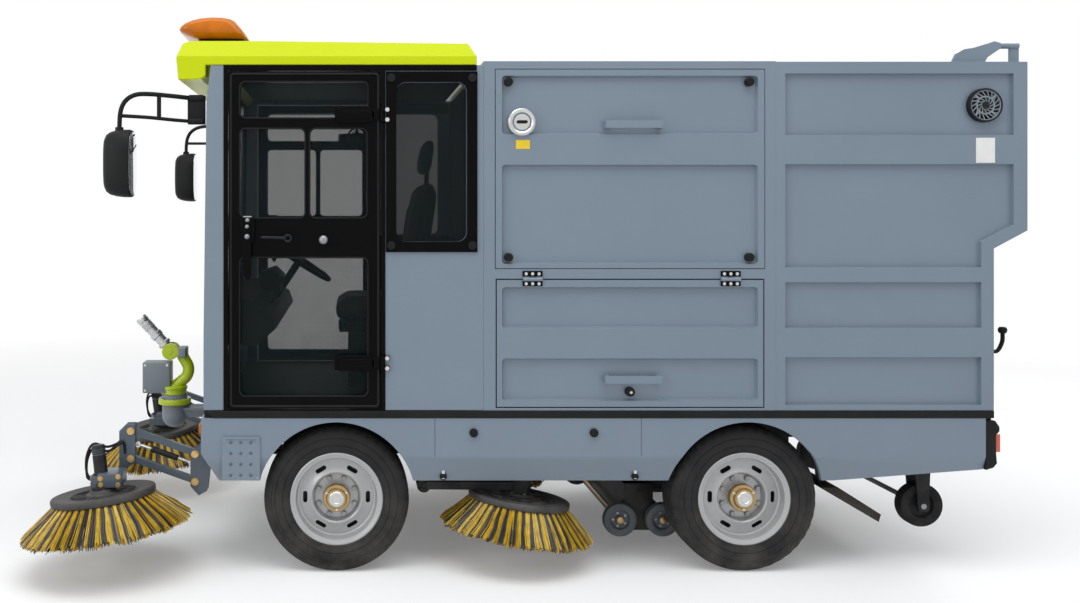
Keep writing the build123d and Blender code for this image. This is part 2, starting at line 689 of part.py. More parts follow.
with BuildPart() as battery_block:
    block(mid_rear_x + body_wall + battery_gap, cab_rear_x - body_wall - battery_gap,
          -battery_half_width, battery_half_width, deck_top, deck_top + battery_height)
    # Well round the suction sleeve
    block(nozzle_x - 130, nozzle_x + 130, -130, 130, deck_top - 1, deck_top + battery_height + 1,
          Mode.SUBTRACT)
pieces["battery_block"] = battery_block

# Hopper: two shaped side walls, front wall, roof and floor, open behind
hopper_outline = [(mid_rear_x, deck_top), (mid_rear_x, body_top - 2), (hopper_rear_x, body_top - 2),
                  (hopper_rear_x, tail_step_high), (tail_x, tail_step_low), (tail_x, deck_top)]
gate_inner_x = hopper_rear_x + body_wall
gate_inner_tail_x = tail_x + body_wall
pivot_x = hopper_rear_x + tail_pivot_forward
pivot_z = body_top - 2 + tail_pivot_above
arm_y = half_width - 29
with BuildPart() as fan_grille:
    grille_x = hopper_rear_x + 178
    grille_z = body_top - 185
    crossbar(grille_x, grille_z, 70, half_width - field_depth, half_width + 6)
    crossbar(grille_x, grille_z, 60, half_width - 10, half_width + 7, Mode.SUBTRACT)
    with BuildSketch(side_plane(half_width + 4)) as ribs:
        with Locations((grille_x, grille_z)):
            Rectangle(124, 8, rotation=45)
            Rectangle(124, 8, rotation=-45)
            Circle(40)
            Circle(33, mode=Mode.SUBTRACT)
            Circle(18)
    extrude(ribs.sketch, amount=16)
# Plain pressed fields of the side walls: low edge, high edge and rear edge
field_front_x = mid_rear_x - 40
hopper_fields = ((deck_top + 23, deck_top + 223, tail_x + 53), (deck_top + 347, deck_top + 538, tail_x + 53),
                 (body_top - 310, body_top - 52, hopper_rear_x + 58))
with BuildPart() as hopper:
    for side in sides:
        y_low, y_high = sorted((side * inner_wall_y, side * half_width))
        slab(hopper_outline, y_low, y_high)
        # Pressed fields on the outside of each wall
        y_low, y_high = sorted((side * (half_width - field_depth), side * (half_width + 1)))
        for low, high, rear in hopper_fields:
            slab([(field_front_x, low), (field_front_x, high), (rear, high), (rear, low)],
                 y_low, y_high, Mode.SUBTRACT)
        slab([(field_front_x, deck_top + 601), (field_front_x, body_top - 433),
              (hopper_rear_x + 58, body_top - 433), (hopper_rear_x + 58, tail_step_high + 24),
              (tail_x + 53, tail_step_low + 28), (tail_x + 53, deck_top + 601)], y_low, y_high, Mode.SUBTRACT)
        # Roof arm that carries the tailgate's pivot
        y_low, y_high = sorted((side * (arm_y - 6), side * (arm_y + 6)))
        slab([(pivot_x + 192, body_top - 2), (pivot_x + 174, body_top + 35), (pivot_x + 140, body_top + 54),
              (pivot_x + 100, body_top + 60), (pivot_x + 10, pivot_z + 16), (pivot_x - 16, pivot_z + 8),
              (pivot_x - 16, pivot_z - 14), (pivot_x + 40, body_top + 20), (pivot_x + 52, body_top - 2)],
             y_low, y_high)
        y_low, y_high = sorted((side * (arm_y - 36), side * arm_y))
        crossbar(pivot_x, pivot_z, pin_radius, y_low, y_high)
    block(mid_rear_x - body_wall, mid_rear_x, -inner_wall_y, inner_wall_y, deck_top, body_top - 2)
    block(gate_inner_x + seam, mid_rear_x - body_wall, -inner_wall_y, inner_wall_y,
          body_top - 2 - body_wall, body_top - 2)
    block(gate_inner_tail_x + seam, mid_rear_x - body_wall, -inner_wall_y, inner_wall_y,
          deck_top, deck_top + body_wall)
    add(fan_grille.part)
    mirror(fan_grille.part, about=Plane.XZ)
pieces["hopper"] = hopper

clamp_z = deck_top + 296
with BuildPart() as tailgate:
    gate_top = body_top - 2 - seam
    gate_half = inner_wall_y - seam
    slab([(hopper_rear_x, gate_top), (hopper_rear_x, tail_step_high), (tail_x, tail_step_low),
          (tail_x, deck_top + 7), (gate_inner_tail_x, deck_top + 7), (gate_inner_tail_x, tail_step_low + 26),
          (gate_inner_x, tail_step_high + 26), (gate_inner_x, gate_top)], -gate_half, gate_half)
    for side in sides:
        y_low, y_high = sorted((side * (gate_half - 15), side * gate_half))
        slab([(hopper_rear_x + 4, gate_top), (hopper_rear_x + 40, gate_top),
              (hopper_rear_x + 40, pivot_z - 6), (hopper_rear_x + 4, pivot_z - 6)], y_low, y_high)
        y_mid = side * (arm_y - 24)
        tube((pivot_x, y_mid, pivot_z), (hopper_rear_x + 6, y_mid, pivot_z), 12)
        y_low, y_high = sorted((side * (arm_y - 35), side * (arm_y - 8)))
        crossbar(pivot_x, pivot_z, 15, y_low, y_high)
        y_low, y_high = sorted((side * (arm_y - 50), side * (arm_y - 1)))
        crossbar(pivot_x, pivot_z, pin_radius + hinge_clearance, y_low, y_high, Mode.SUBTRACT)
    # Two screw clamps with upright grips, and a catch above each
    for side in sides:
        clamp_y = side * (gate_half - 70)
        tube((tail_x + 5, clamp_y, clamp_z), (tail_x - 52, clamp_y, clamp_z), 13)
        post(tail_x - 52, clamp_y, 12, clamp_z - 76, clamp_z + 76)
        block(tail_x - 34, tail_x + 2, clamp_y - 30, clamp_y + 30, clamp_z + 240, clamp_z + 304)
pieces["tailgate"] = tailgate

# Lamps, knobs and mirrors
with BuildPart() as lamps:
    for side in sides:
        y_low, y_high = sorted((side * (half_width - 130), side * (half_width - 20)))
        block(skirt_rear_x - bumper_depth - 16, skirt_rear_x - bumper_depth + 14, y_low, y_high,
              lamp_bottom, lamp_top)
        y_low, y_high = sorted((side * (half_width - 90), side * (half_width - 20)))
        block(skirt_front_x, skirt_front_x + 12, y_low, y_high, lamp_top, lamp_top + 42)
        lens_plane = Plane(origin=(skirt_front_x, side * link_y, lamp_top - 10), z_dir=(1, 0, 0))
        with BuildSketch(lens_plane) as lens:
            Circle(52)
        extrude(lens.sketch, amount=20)
pieces["lamps"] = lamps

with BuildPart() as knobs_left:
    for x in (quarter_front_x - 22, quarter_rear_x + 22):
        for z in (quarter_top - 28, quarter_bottom + 28):
            crossbar(x, z, 18, half_width + quarter_frame_depth, half_width + quarter_frame_depth + 10)
    for z in (panel_top - 52, panel_bottom + 46):
        for x in (panel_front_x - 55, panel_rear_x + 62):
            crossbar(x, z, 18, half_width - field_depth, half_width + 10)
    for x in (panel_seam_front_x - 162, panel_seam_rear_x + 200):
        crossbar(x, deck_top - 93, 18, half_width, half_width + 14)
    # Catches at the foot of the skirt's seams, square to the tucked-in face
    tuck_rise = skirt_fold - skirt_bottom
    catch_y, catch_z = half_width - skirt_tuck * 0.8, skirt_bottom + tuck_rise * 0.2
    for x in (panel_seam_front_x - 37, panel_seam_rear_x + 20):
        tube((x, catch_y, catch_z), (x, catch_y + 13, catch_z - 13 * skirt_tuck / tuck_rise), 15)
pieces["fixing_knobs"] = both_sides(knobs_left)

mirror_y = half_width + mirror_out
mirror_x = cab_front_x + 270
mirror_z = cab_top - 420
arm_high = cab_top - 135
arm_low = cab_top - 233
with BuildPart() as mirror_left:
    slab([(cab_front_x, arm_low - 16), (cab_front_x, arm_high + 9), (cab_front_x + 60, arm_high + 9),
          (cab_front_x + 73, arm_high - 9), (cab_front_x + 73, arm_low), (cab_front_x + 60, arm_low - 16)],
         half_width - 60, half_width - 40)
    tube((cab_front_x + 50, half_width - 50, arm_high), (mirror_x - 30, mirror_y, arm_high), 9)
    with Locations((mirror_x - 30, mirror_y, arm_high)):
        Sphere(9)
    tube((mirror_x - 30, mirror_y, arm_high), (mirror_x + 50, mirror_y, mirror_z + 110), 9)
    tube((cab_front_x + 50, half_width - 50, arm_low), (mirror_x + 10, mirror_y, arm_low), 9)
    # Head: round-cornered glass end, tapering to a domed front
    with BuildSketch(Plane(origin=(mirror_x, mirror_y, mirror_z), x_dir=(0, 1, 0), z_dir=(1, 0, 0))):
        RectangleRounded(mirror_width, mirror_height, 50)
    with BuildSketch(Plane(origin=(mirror_x + 70, mirror_y, mirror_z), x_dir=(0, 1, 0), z_dir=(1, 0, 0))):
        RectangleRounded(mirror_width - 12, mirror_height - 18, 46)
    with BuildSketch(Plane(origin=(mirror_x + mirror_depth, mirror_y, mirror_z), x_dir=(0, 1, 0),
                           z_dir=(1, 0, 0))):
        RectangleRounded(mirror_width - 90, mirror_height - 120, 36)
    loft(ruled=True)
pieces["mirrors"] = both_sides(mirror_left)

# Leaf spring with its eyes, drawn over the origin
spring_half = 330
spring_base = rail_bottom - 110
with BuildPart() as spring:
    for half, drop in ((spring_half, 0), (spring_half * 0.75, 11), (spring_half * 0.45, 22)):
        sag = 70 * (half / spring_half) ** 2
        with BuildSketch(side_plane(rail_y + 25)) as leaf:
            with BuildLine():
                ThreePointArc((-half, sag - drop), (0, -drop), (half, sag - drop))
                Line((half, sag - drop), (half, sag - drop - 11))
                ThreePointArc((half, sag - drop - 11), (0, -drop - 11), (-half, sag - drop - 11))
                Line((-half, sag - drop - 11), (-half, sag - drop))
            make_face()
        extrude(leaf.sketch, amount=50)
    for x in (-spring_half, spring_half):
        crossbar(x, 70, 16, rail_y - 25, rail_y + 25)
        block(x - 20, x + 20, rail_y - 25, rail_y + 25, 80, 110)

# Axles: the front one ends in forks for the kingpins
with BuildPart() as front_axle:
    block(front_axle_x - 30, front_axle_x + 30, -kingpin_y + 44, kingpin_y - 44, axle_z - 32, axle_z + 32)
    for side in sides:
        for low, high in ((axle_z - 76, axle_z - 58), (axle_z + 58, axle_z + 76)):
            post(front_axle_x, side * kingpin_y, 26, low, high)
            near, far = side * (kingpin_y - 70), side * kingpin_y
            block(front_axle_x - 26, front_axle_x + 26, min(near, far), max(near, far), low, high)
        near, far = side * (kingpin_y - 70), side * (kingpin_y - 44)
        block(front_axle_x - 26, front_axle_x + 26, min(near, far), max(near, far), axle_z - 76, axle_z + 76)
        post(front_axle_x, side * kingpin_y, 12, axle_z - 70, axle_z + 70)
        block(front_axle_x - 35, front_axle_x + 35, side * rail_y - 30, side * rail_y + 30,
              axle_z + 30, spring_base - 24)
    with Locations((front_axle_x, 0, spring_base), (front_axle_x, -2 * rail_y, spring_base)):
        add(spring.part)
pieces["front_axle"] = front_axle

with BuildPart() as rear_axle:
    crossbar(rear_axle_x, axle_z, 36, -wheel_y + 40, wheel_y - 40)
    crossbar(rear_axle_x, axle_z, spindle_radius, -wheel_y - 30, wheel_y + 30)
    with Locations((rear_axle_x, 0, axle_z)):
        Sphere(105)
    for side in sides:
        block(rear_axle_x - 35, rear_axle_x + 35, side * rail_y - 30, side * rail_y + 30,
              axle_z + 30, spring_base - 24)
    with Locations((rear_axle_x, 0, spring_base), (rear_axle_x, -2 * rail_y, spring_base)):
        add(spring.part)
pieces["rear_axle"] = rear_axle

# Steering knuckle: kingpin block, spindle and rearward arm
rod_z = axle_z - 68
with BuildPart() as knuckle_left:
    post(front_axle_x, kingpin_y, 24, axle_z - 57, axle_z + 57)
    crossbar(front_axle_x, axle_z, spindle_radius, kingpin_y, wheel_y + 30)
    block(front_axle_x - steering_arm, front_axle_x, kingpin_y - 13, kingpin_y + 13, axle_z - 52, axle_z - 36)
    post(front_axle_x - steering_arm, kingpin_y, 13, axle_z - 52, axle_z - 36)
    post(front_axle_x - steering_arm, kingpin_y, 8, rod_z - 10, axle_z - 50)
    post(front_axle_x, kingpin_y, 12 + hinge_clearance, axle_z - 58, axle_z + 58, Mode.SUBTRACT)
pieces["knuckle_left"] = knuckle_left
pieces["knuckle_right"] = other_side(knuckle_left)

with BuildPart() as tie_rod:
    crossbar(front_axle_x - steering_arm, rod_z, 7, -kingpin_y, kingpin_y)
    for side in sides:
        post(front_axle_x - steering_arm, side * kingpin_y, 16, rod_z - 10, rod_z + 10)
        post(front_axle_x - steering_arm, side * kingpin_y, 8 + hinge_clearance, rod_z - 11, rod_z + 11,
             Mode.SUBTRACT)
pieces["tie_rod"] = tie_rod

# Tyre and rim, drawn round the Y axis with the outer face towards +Y
bead_radius = bead_diameter / 2
rim_radius = rim_diameter / 2
half_tyre = tyre_width / 2
half_rim = rim_width / 2
with BuildPart() as tyre:
    with BuildSketch(Plane.XY):
        with BuildLine():
            Polyline((bead_radius, -half_rim + 7), (rim_radius, -half_rim + 7), (axle_z * 0.76, -half_tyre),
                     (axle_z * 0.85, -half_tyre), (axle_z * 0.95, -half_tyre + 10), (axle_z, -half_tyre + 28),
                     (axle_z, half_tyre - 28), (axle_z * 0.95, half_tyre - 10), (axle_z * 0.85, half_tyre),
                     (axle_z * 0.76, half_tyre), (rim_radius, half_rim - 7), (bead_radius, half_rim - 7),
                     close=True)
        make_face()
    revolve(axis=Axis.Y)

rim_wall = 6
with BuildPart() as rim:
    with BuildSketch(Plane.XY):
        with BuildLine():
            Polyline((bead_radius, -half_rim + 7), (rim_radius, -half_rim + 7), (rim_radius, -half_rim),
                     (bead_radius - rim_wall, -half_rim), (bead_radius - rim_wall, 30), (106, 44), (100, 8),
                     (46, 8), (46, -24), (spindle_radius + hinge_clearance, -24),
                     (spindle_radius + hinge_clearance, 36), (0, 36), (0, 86), (33, 86), (36, 74), (58, 68),
                     (58, 22), (94, 22), (98, 56), (112, 56), (bead_radius - rim_wall, 42),
                     (bead_radius - rim_wall, half_rim), (rim_radius, half_rim), (rim_radius, half_rim - 7),
                     (bead_radius, half_rim - 7), close=True)
        make_face()
    revolve(axis=Axis.Y)
    with BuildSketch(side_plane(60)) as slots:
        with PolarLocations(rim_radius * 0.7, 6):
            SlotOverall(50, 19, rotation=90)
    extrude(slots.sketch, amount=50, mode=Mode.SUBTRACT)

for name, x, side in (("front_left", front_axle_x, 1), ("front_right", front_axle_x, -1),
                      ("rear_left", rear_axle_x, 1), ("rear_right", rear_axle_x, -1)):
    turn = (0, 0, 0) if side > 0 else (0, 0, 180)
    with BuildPart() as placed_tyre:
        with Locations((x, side * wheel_y, axle_z)):
            add(tyre.part, rotation=turn)
    pieces["tyre_" + name] = placed_tyre
    with BuildPart() as placed_rim:
        with Locations((x, side * wheel_y, axle_z)):
            add(rim.part, rotation=turn)
    pieces["rim_" + name] = placed_rim


# Brushes: a spoked disc over a flaring skirt of bristles, tilted about the circle of its tips
def brush_axis(pitch, roll):
    return Vector(tan(radians(pitch)), -tan(radians(roll)), 1).normalized()


def brush(tip_centre, axis, tip_radius):
    disc_centre = Vector(*tip_centre) + axis * bristle_drop
    base = Plane(origin=disc_centre, x_dir=(axis.Z, 0, -axis.X), z_dir=axis)
    upright = Plane(origin=disc_centre, x_dir=base.x_dir, z_dir=base.y_dir * -1)
    half = disc_thickness / 2
    root_radius = disc_radius - 10
    with BuildPart() as built:
        with BuildSketch(base.offset(-half)) as rings:
            Circle(disc_radius)
            Circle(disc_radius * 0.62, mode=Mode.SUBTRACT)
            Circle(hub_radius + 14)
            with PolarLocations(disc_radius * 0.4, spoke_count):
                Rectangle(disc_radius * 0.6, 38)
        extrude(rings.sketch, amount=disc_thickness)
        with BuildSketch(base.offset(half)) as hub:
            Circle(hub_radius)
        extrude(hub.sketch, amount=12)
        with BuildSketch(upright) as flare:
            with BuildLine():
                Polyline((root_radius, -half), (tip_radius, -bristle_drop),
                         (tip_radius - bristle_depth, -bristle_drop), (root_radius - bristle_depth, -half),
                         close=True)
            make_face()
        revolve(flare.sketch, axis=Axis(disc_centre, axis))
        # The tufts part from each other over their lower half
        with BuildSketch(base.offset(-bristle_drop - 1)) as gaps:
            with PolarLocations(tip_radius, tuft_count):
                Rectangle(bristle_drop, tuft_gap)
        extrude(gaps.sketch, amount=bristle_drop * 0.55, mode=Mode.SUBTRACT)
    return built


front_axis = brush_axis(brush_pitch, brush_roll)
mid_axis = brush_axis(-brush_pitch, brush_roll)
front_tip = (front_brush_x, front_brush_y, front_tip_height)
mid_tip = (mid_brush_x, mid_brush_y, mid_tip_height)
front_brush_left = brush(front_tip, front_axis, front_tip_radius)
pieces["front_brush_left"] = front_brush_left
pieces["front_brush_right"] = other_side(front_brush_left)
mid_brush_left = brush(mid_tip, mid_axis, mid_tip_radius)
pieces["mid_brush_left"] = mid_brush_left
pieces["mid_brush_right"] = other_side(mid_brush_left)

# Links between the front beam and the brush carrier
reach_x = link_length * cos(radians(link_angle))
reach_z = link_length * sin(radians(link_angle))
outer_x = link_x + reach_x


def link(z):
    with BuildPart() as arm:
        with BuildSketch(side_plane(link_y + link_width / 2)):
            with Locations((link_x, z), (outer_x, z + reach_z)):
                Circle(eye_radius)
            with Locations((link_x + reach_x / 2, z + reach_z / 2)):
                Rectangle(link_length, eye_radius * 1.7, rotation=link_angle)
            with Locations((link_x, z), (outer_x, z + reach_z)):
                Circle(pin_radius + hinge_clearance, mode=Mode.SUBTRACT)
        extrude(amount=link_width)
    return arm


link_low_left = link(link_low)
link_high_left = link(link_high)
pieces["lower_link_left"] = link_low_left
pieces["lower_link_right"] = other_side(link_low_left)
pieces["upper_link_left"] = link_high_left
pieces["upper_link_right"] = other_side(link_high_left)

# Brush carrier: forked upright, side arm and hydraulic motor above the disc
front_disc = Vector(*front_tip) + front_axis * (bristle_drop + disc_thickness / 2 + 12 + 1)
carrier_low = link_low + reach_z - 30
carrier_high = link_high + reach_z + 30
with BuildPart() as carrier_left:
    for y in (link_y - link_width / 2 - plate_thickness - 1, link_y + link_width / 2 + 1):
        slab([(outer_x - 18, carrier_low + 10), (outer_x + 30, carrier_low - 20), (outer_x + 50, carrier_low),
              (outer_x + 50, carrier_high - 30), (outer_x + 20, carrier_high), (outer_x - 18, carrier_high)],
             y, y + plate_thickness)
    block(outer_x + 26, outer_x + 46, link_y - link_width / 2 - 2, link_y + link_width / 2 + 2,
          carrier_low, carrier_high - 40)
    for z in (link_low + reach_z, link_high + reach_z):
        crossbar(outer_x, z, pin_radius, link_y - 30, link_y + 30)
    block(outer_x + 20, front_disc.X + 40, link_y + link_width / 2 + 10, front_disc.Y + 45,
          front_disc.Z + 14, front_disc.Z + 50)
    with BuildSketch(Plane(origin=front_disc, z_dir=front_axis)):
        Circle(48)
    extrude(amount=60)
    with BuildSketch(Plane(origin=front_disc + front_axis * 60, z_dir=front_axis)):
        Circle(brush_motor_radius)
    extrude(amount=120)
pieces["carrier_left"] = carrier_left
pieces["carrier_right"] = other_side(carrier_left)

# Mid brush arm: pivots across the frame ahead of the disc
mid_disc = Vector(*mid_tip) + mid_axis * (bristle_drop + disc_thickness / 2 + 12 + 1)
with BuildPart() as mid_arm_left:
    crossbar(mid_pivot_x, mid_pivot_z, 30, rail_outer + 30, mid_brush_y + 10)
    slab([(mid_pivot_x - 10, mid_pivot_z + 20), (mid_pivot_x + 20, mid_pivot_z - 14),
          (mid_disc.X - 40, mid_disc.Z + 16), (mid_disc.X - 40, mid_disc.Z + 50)],
         mid_disc.Y - 30, mid_disc.Y + 30)
    with BuildSketch(Plane(origin=mid_disc, z_dir=mid_axis)):
        Circle(48)
    extrude(amount=60)
    crossbar(mid_pivot_x, mid_pivot_z, 12 + hinge_clearance, rail_outer - 10, mid_brush_y + 20, Mode.SUBTRACT)
pieces["mid_arm_left"] = mid_arm_left
pieces["mid_arm_right"] = other_side(mid_arm_left)

# Water monitor: fixed drum, turning yoke and tilting barrel
with BuildPart() as monitor_base:
    inlet_z = drum_bottom + 75
    # Bowl below the swivel flange
    with BuildSketch(Plane.XZ) as bowl:
        with BuildLine():
            Line((monitor_x, drum_bottom), (monitor_x + 30, drum_bottom))
            ThreePointArc((monitor_x + 30, drum_bottom), (monitor_x + 55, drum_bottom + 26),
                          (monitor_x + drum_radius, drum_bottom + 62))
            Line((monitor_x + drum_radius, drum_bottom + 62), (monitor_x + drum_radius, drum_top))
            Line((monitor_x + drum_radius, drum_top), (monitor_x, drum_top))
            Line((monitor_x, drum_top), (monitor_x, drum_bottom))
        make_face()
    revolve(bowl.sketch, axis=Axis((monitor_x, 0, 0), (0, 0, 1)))
    post(monitor_x, 0, 77, drum_top - 46, drum_top - 22)
    tube((monitor_x, 0, inlet_z), (skirt_front_x, 0, inlet_z), 32)
    block(skirt_front_x, monitor_x - 40, -40, 40, inlet_z + 7, inlet_z + 19)
    block(skirt_front_x, skirt_front_x + 12, -60, 60, inlet_z - 32, inlet_z + 87)
pieces["monitor_base"] = monitor_base

with BuildPart() as monitor_yoke:
    post(monitor_x, 0, drum_radius - 4, drum_top + 1, drum_top + 40)
    with BuildLine() as bend:
        FilletPolyline((monitor_x, 0, drum_top + 35), (monitor_x - 85, 0, drum_top + 104),
                       (barrel_x - 50, 0, barrel_z - 16), radius=60)
    with BuildSketch(Plane(origin=(monitor_x, 0, drum_top + 35), z_dir=(-85, 0, 69))):
        Circle(28)
    sweep(path=bend.line)
    block(monitor_x + 18, monitor_x + 149, -45, 45, drum_top + 10, drum_top + 157)
    crossbar(barrel_x, barrel_z, 38, -44, -26.5)
    crossbar(barrel_x, barrel_z, 38, 26.5, 44)
    block(barrel_x - 75, barrel_x - 39, -44, 44, barrel_z - 30, barrel_z + 18)
    for low, high in ((-44, -26.5), (26.5, 44)):
        block(barrel_x - 50, barrel_x, low, high, barrel_z - 20, barrel_z + 16)
    crossbar(barrel_x, barrel_z, 10, -44, 44)
pieces["monitor_yoke"] = monitor_yoke

tilt = radians(barrel_elevation)
muzzle = (barrel_x + barrel_length * cos(tilt), 0, barrel_z + barrel_length * sin(tilt))
with BuildPart() as monitor_barrel:
    crossbar(barrel_x, barrel_z, 34, -26, 26)
    tube((barrel_x, 0, barrel_z), muzzle, barrel_radius)
    bore_start = (barrel_x + 120 * cos(tilt), 0, barrel_z + 120 * sin(tilt))
    tube(bore_start, muzzle, barrel_radius - 6, Mode.SUBTRACT)
    crossbar(barrel_x, barrel_z, 10 + hinge_clearance, -30, 30, Mode.SUBTRACT)
pieces["monitor_barrel"] = monitor_barrel

# Suction nozzle: an inverted tray with a duct stub that slides in the sleeve
tray_top = 300
tray_low = 90
tray_half = nozzle_length / 2
wheel_spots = (("front", nozzle_x + nozzle_wheel_spacing / 2), ("rear", nozzle_x - nozzle_wheel_spacing / 2))
with BuildPart() as suction_nozzle:
    block(nozzle_x - tray_half, nozzle_x + tray_half, -nozzle_half_width, nozzle_half_width,
          tray_low, tray_top)
    block(nozzle_x - tray_half + 8, nozzle_x + tray_half - 8, -nozzle_half_width + 8,
          nozzle_half_width - 8, tray_low - 1, tray_top - 8, Mode.SUBTRACT)
    post(nozzle_x, 0, duct_radius, tray_top - 1, 520)
    post(nozzle_x, 0, duct_radius - 5, tray_top - 20, 521, Mode.SUBTRACT)
    for label, x in wheel_spots:
        for side in sides:
            near, far = side * (nozzle_half_width - 12), side * nozzle_half_width
            slab([(nozzle_x, tray_top), (nozzle_x, nozzle_wheel_z + 60), (x, nozzle_wheel_z - 22),
                  (x + (x - nozzle_x) * 0.2, nozzle_wheel_z),
                  (x + (x - nozzle_x) * 0.2, nozzle_wheel_z + 30)],
                 min(near, far), max(near, far))
            near, far = side * (nozzle_half_width - 13), side * (nozzle_half_width + 1)
            crossbar(x, nozzle_wheel_z, 10 + hinge_clearance, min(near, far), max(near, far), Mode.SUBTRACT)
pieces["suction_nozzle"] = suction_nozzle

# Support wheels on through shafts, one ahead of the tray and one behind
for label, x in wheel_spots:
    with BuildPart() as wheel_pair:
        crossbar(x, nozzle_wheel_z, 10, -nozzle_half_width - 60, nozzle_half_width + 60)
        for side in sides:
            near, far = side * (nozzle_half_width + 16), side * (nozzle_half_width + 56)
            crossbar(x, nozzle_wheel_z, nozzle_wheel_radius, min(near, far), max(near, far))
    pieces["nozzle_wheels_" + label] = wheel_pair

# Rear rollers on one shaft
with BuildPart() as rear_rollers:
    crossbar(roller_x, roller_z, 12, -roller_y - roller_width / 2 - 16, roller_y + roller_width / 2 + 16)
    for side in sides:
        near, far = side * (roller_y - roller_width / 2), side * (roller_y + roller_width / 2)
        crossbar(roller_x, roller_z, roller_radius, min(near, far), max(near, far))
pieces["rear_rollers"] = rear_rollers

os.makedirs("parts", exist_ok=True)
for name, piece in pieces.items():
    piece.part.label = name
    export_step(piece.part, "parts/" + name + ".step")
print(len(pieces), "pieces")
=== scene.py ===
import bpy
import bmesh
import json
import math
from mathutils import Matrix, Vector


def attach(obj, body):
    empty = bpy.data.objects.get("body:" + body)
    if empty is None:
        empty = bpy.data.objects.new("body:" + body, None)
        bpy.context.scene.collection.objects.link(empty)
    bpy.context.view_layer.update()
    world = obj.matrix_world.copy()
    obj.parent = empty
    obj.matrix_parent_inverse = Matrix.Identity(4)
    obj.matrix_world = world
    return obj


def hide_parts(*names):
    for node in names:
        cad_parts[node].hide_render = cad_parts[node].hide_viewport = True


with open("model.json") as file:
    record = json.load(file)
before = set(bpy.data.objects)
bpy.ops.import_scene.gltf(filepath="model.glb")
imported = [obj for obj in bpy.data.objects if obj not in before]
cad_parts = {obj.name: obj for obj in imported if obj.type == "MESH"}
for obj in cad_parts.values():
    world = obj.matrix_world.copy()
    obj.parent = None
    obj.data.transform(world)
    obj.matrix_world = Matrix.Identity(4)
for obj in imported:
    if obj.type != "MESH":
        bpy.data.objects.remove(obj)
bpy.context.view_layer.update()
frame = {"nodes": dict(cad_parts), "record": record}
print("frame loaded")

# Camera, floor and light
view = {"place": (0.731, 5.025, 1.527), "focal": 34.13, "shiftX": 0.176, "shiftY": -0.083}
cameraData = bpy.data.cameras.new("sideCamera")
cameraData.lens = view["focal"]
cameraData.sensor_width = 36
cameraData.shift_x = view["shiftX"]
cameraData.shift_y = view["shiftY"]
camera = bpy.data.objects.new("sideCamera", cameraData)
camera.location = view["place"]
camera.rotation_euler = (math.radians(90), 0, math.radians(180))
bpy.context.collection.objects.link(camera)
bpy.context.scene.camera = camera
bpy.context.scene.view_settings.view_transform = "Standard"


def addNode(tree, kind, **values):
    # A value goes to the node's own setting of that name, or else to its input
    node = tree.nodes.new(kind)
    for key, value in values.items():
        if hasattr(node, key):
            setattr(node, key, value)
        else:
            node.inputs[key].default_value = value
    return node


def join(tree, *links):
    for source, target in links:
        tree.links.new(source, target)


def calc(tree, operation, *values):
    node = tree.nodes.new("ShaderNodeMath")
    node.operation = operation
    for socket, value in zip(node.inputs, values):
        if isinstance(value, bpy.types.NodeSocket):
            tree.links.new(value, socket)
        else:
            socket.default_value = value
    return node.outputs[0]


def seenDirectly(tree):
    # 1 for rays that make the picture: straight, through glass or mirrored
    path = addNode(tree, "ShaderNodeLightPath").outputs
    straight = calc(tree, "MAXIMUM", path["Is Camera Ray"], path["Is Transmission Ray"])
    return calc(tree, "MAXIMUM", straight, path["Is Glossy Ray"])


studio = {"sky": (0.95, 0.97, 1.0, 1), "skyStrength": 0.62, "white": (1, 1, 1, 1),
          "paper": (0.86, 0.86, 0.86, 1), "paperRoughness": 0.9, "paperHalf": 30, "fadeNear": 3.4,
          "fadeFar": 8.5, "paperGlow": 0.16}


def makeWorld():
    world = bpy.data.worlds.new("studio")
    bpy.context.scene.world = world
    world.use_nodes = True
    tree = world.node_tree
    tree.nodes.clear()
    soft = addNode(tree, "ShaderNodeBackground", Color=studio["sky"], Strength=studio["skyStrength"])
    seen = addNode(tree, "ShaderNodeBackground", Color=studio["white"], Strength=1.0)
    mix = addNode(tree, "ShaderNodeMixShader")
    out = addNode(tree, "ShaderNodeOutputWorld")
    join(tree, (seenDirectly(tree), mix.inputs[0]), (soft.outputs[0], mix.inputs[1]),
         (seen.outputs[0], mix.inputs[2]), (mix.outputs[0], out.inputs["Surface"]))


def addSoftLight(name, place, aim, size, power):
    data = bpy.data.lights.new(name, "AREA")
    data.shape = "RECTANGLE"
    data.size, data.size_y = size
    data.energy = power
    lamp = bpy.data.objects.new(name, data)
    lamp.location = place
    lamp.rotation_euler = (Vector(aim) - Vector(place)).to_track_quat("-Z", "Y").to_euler()
    bpy.context.collection.objects.link(lamp)


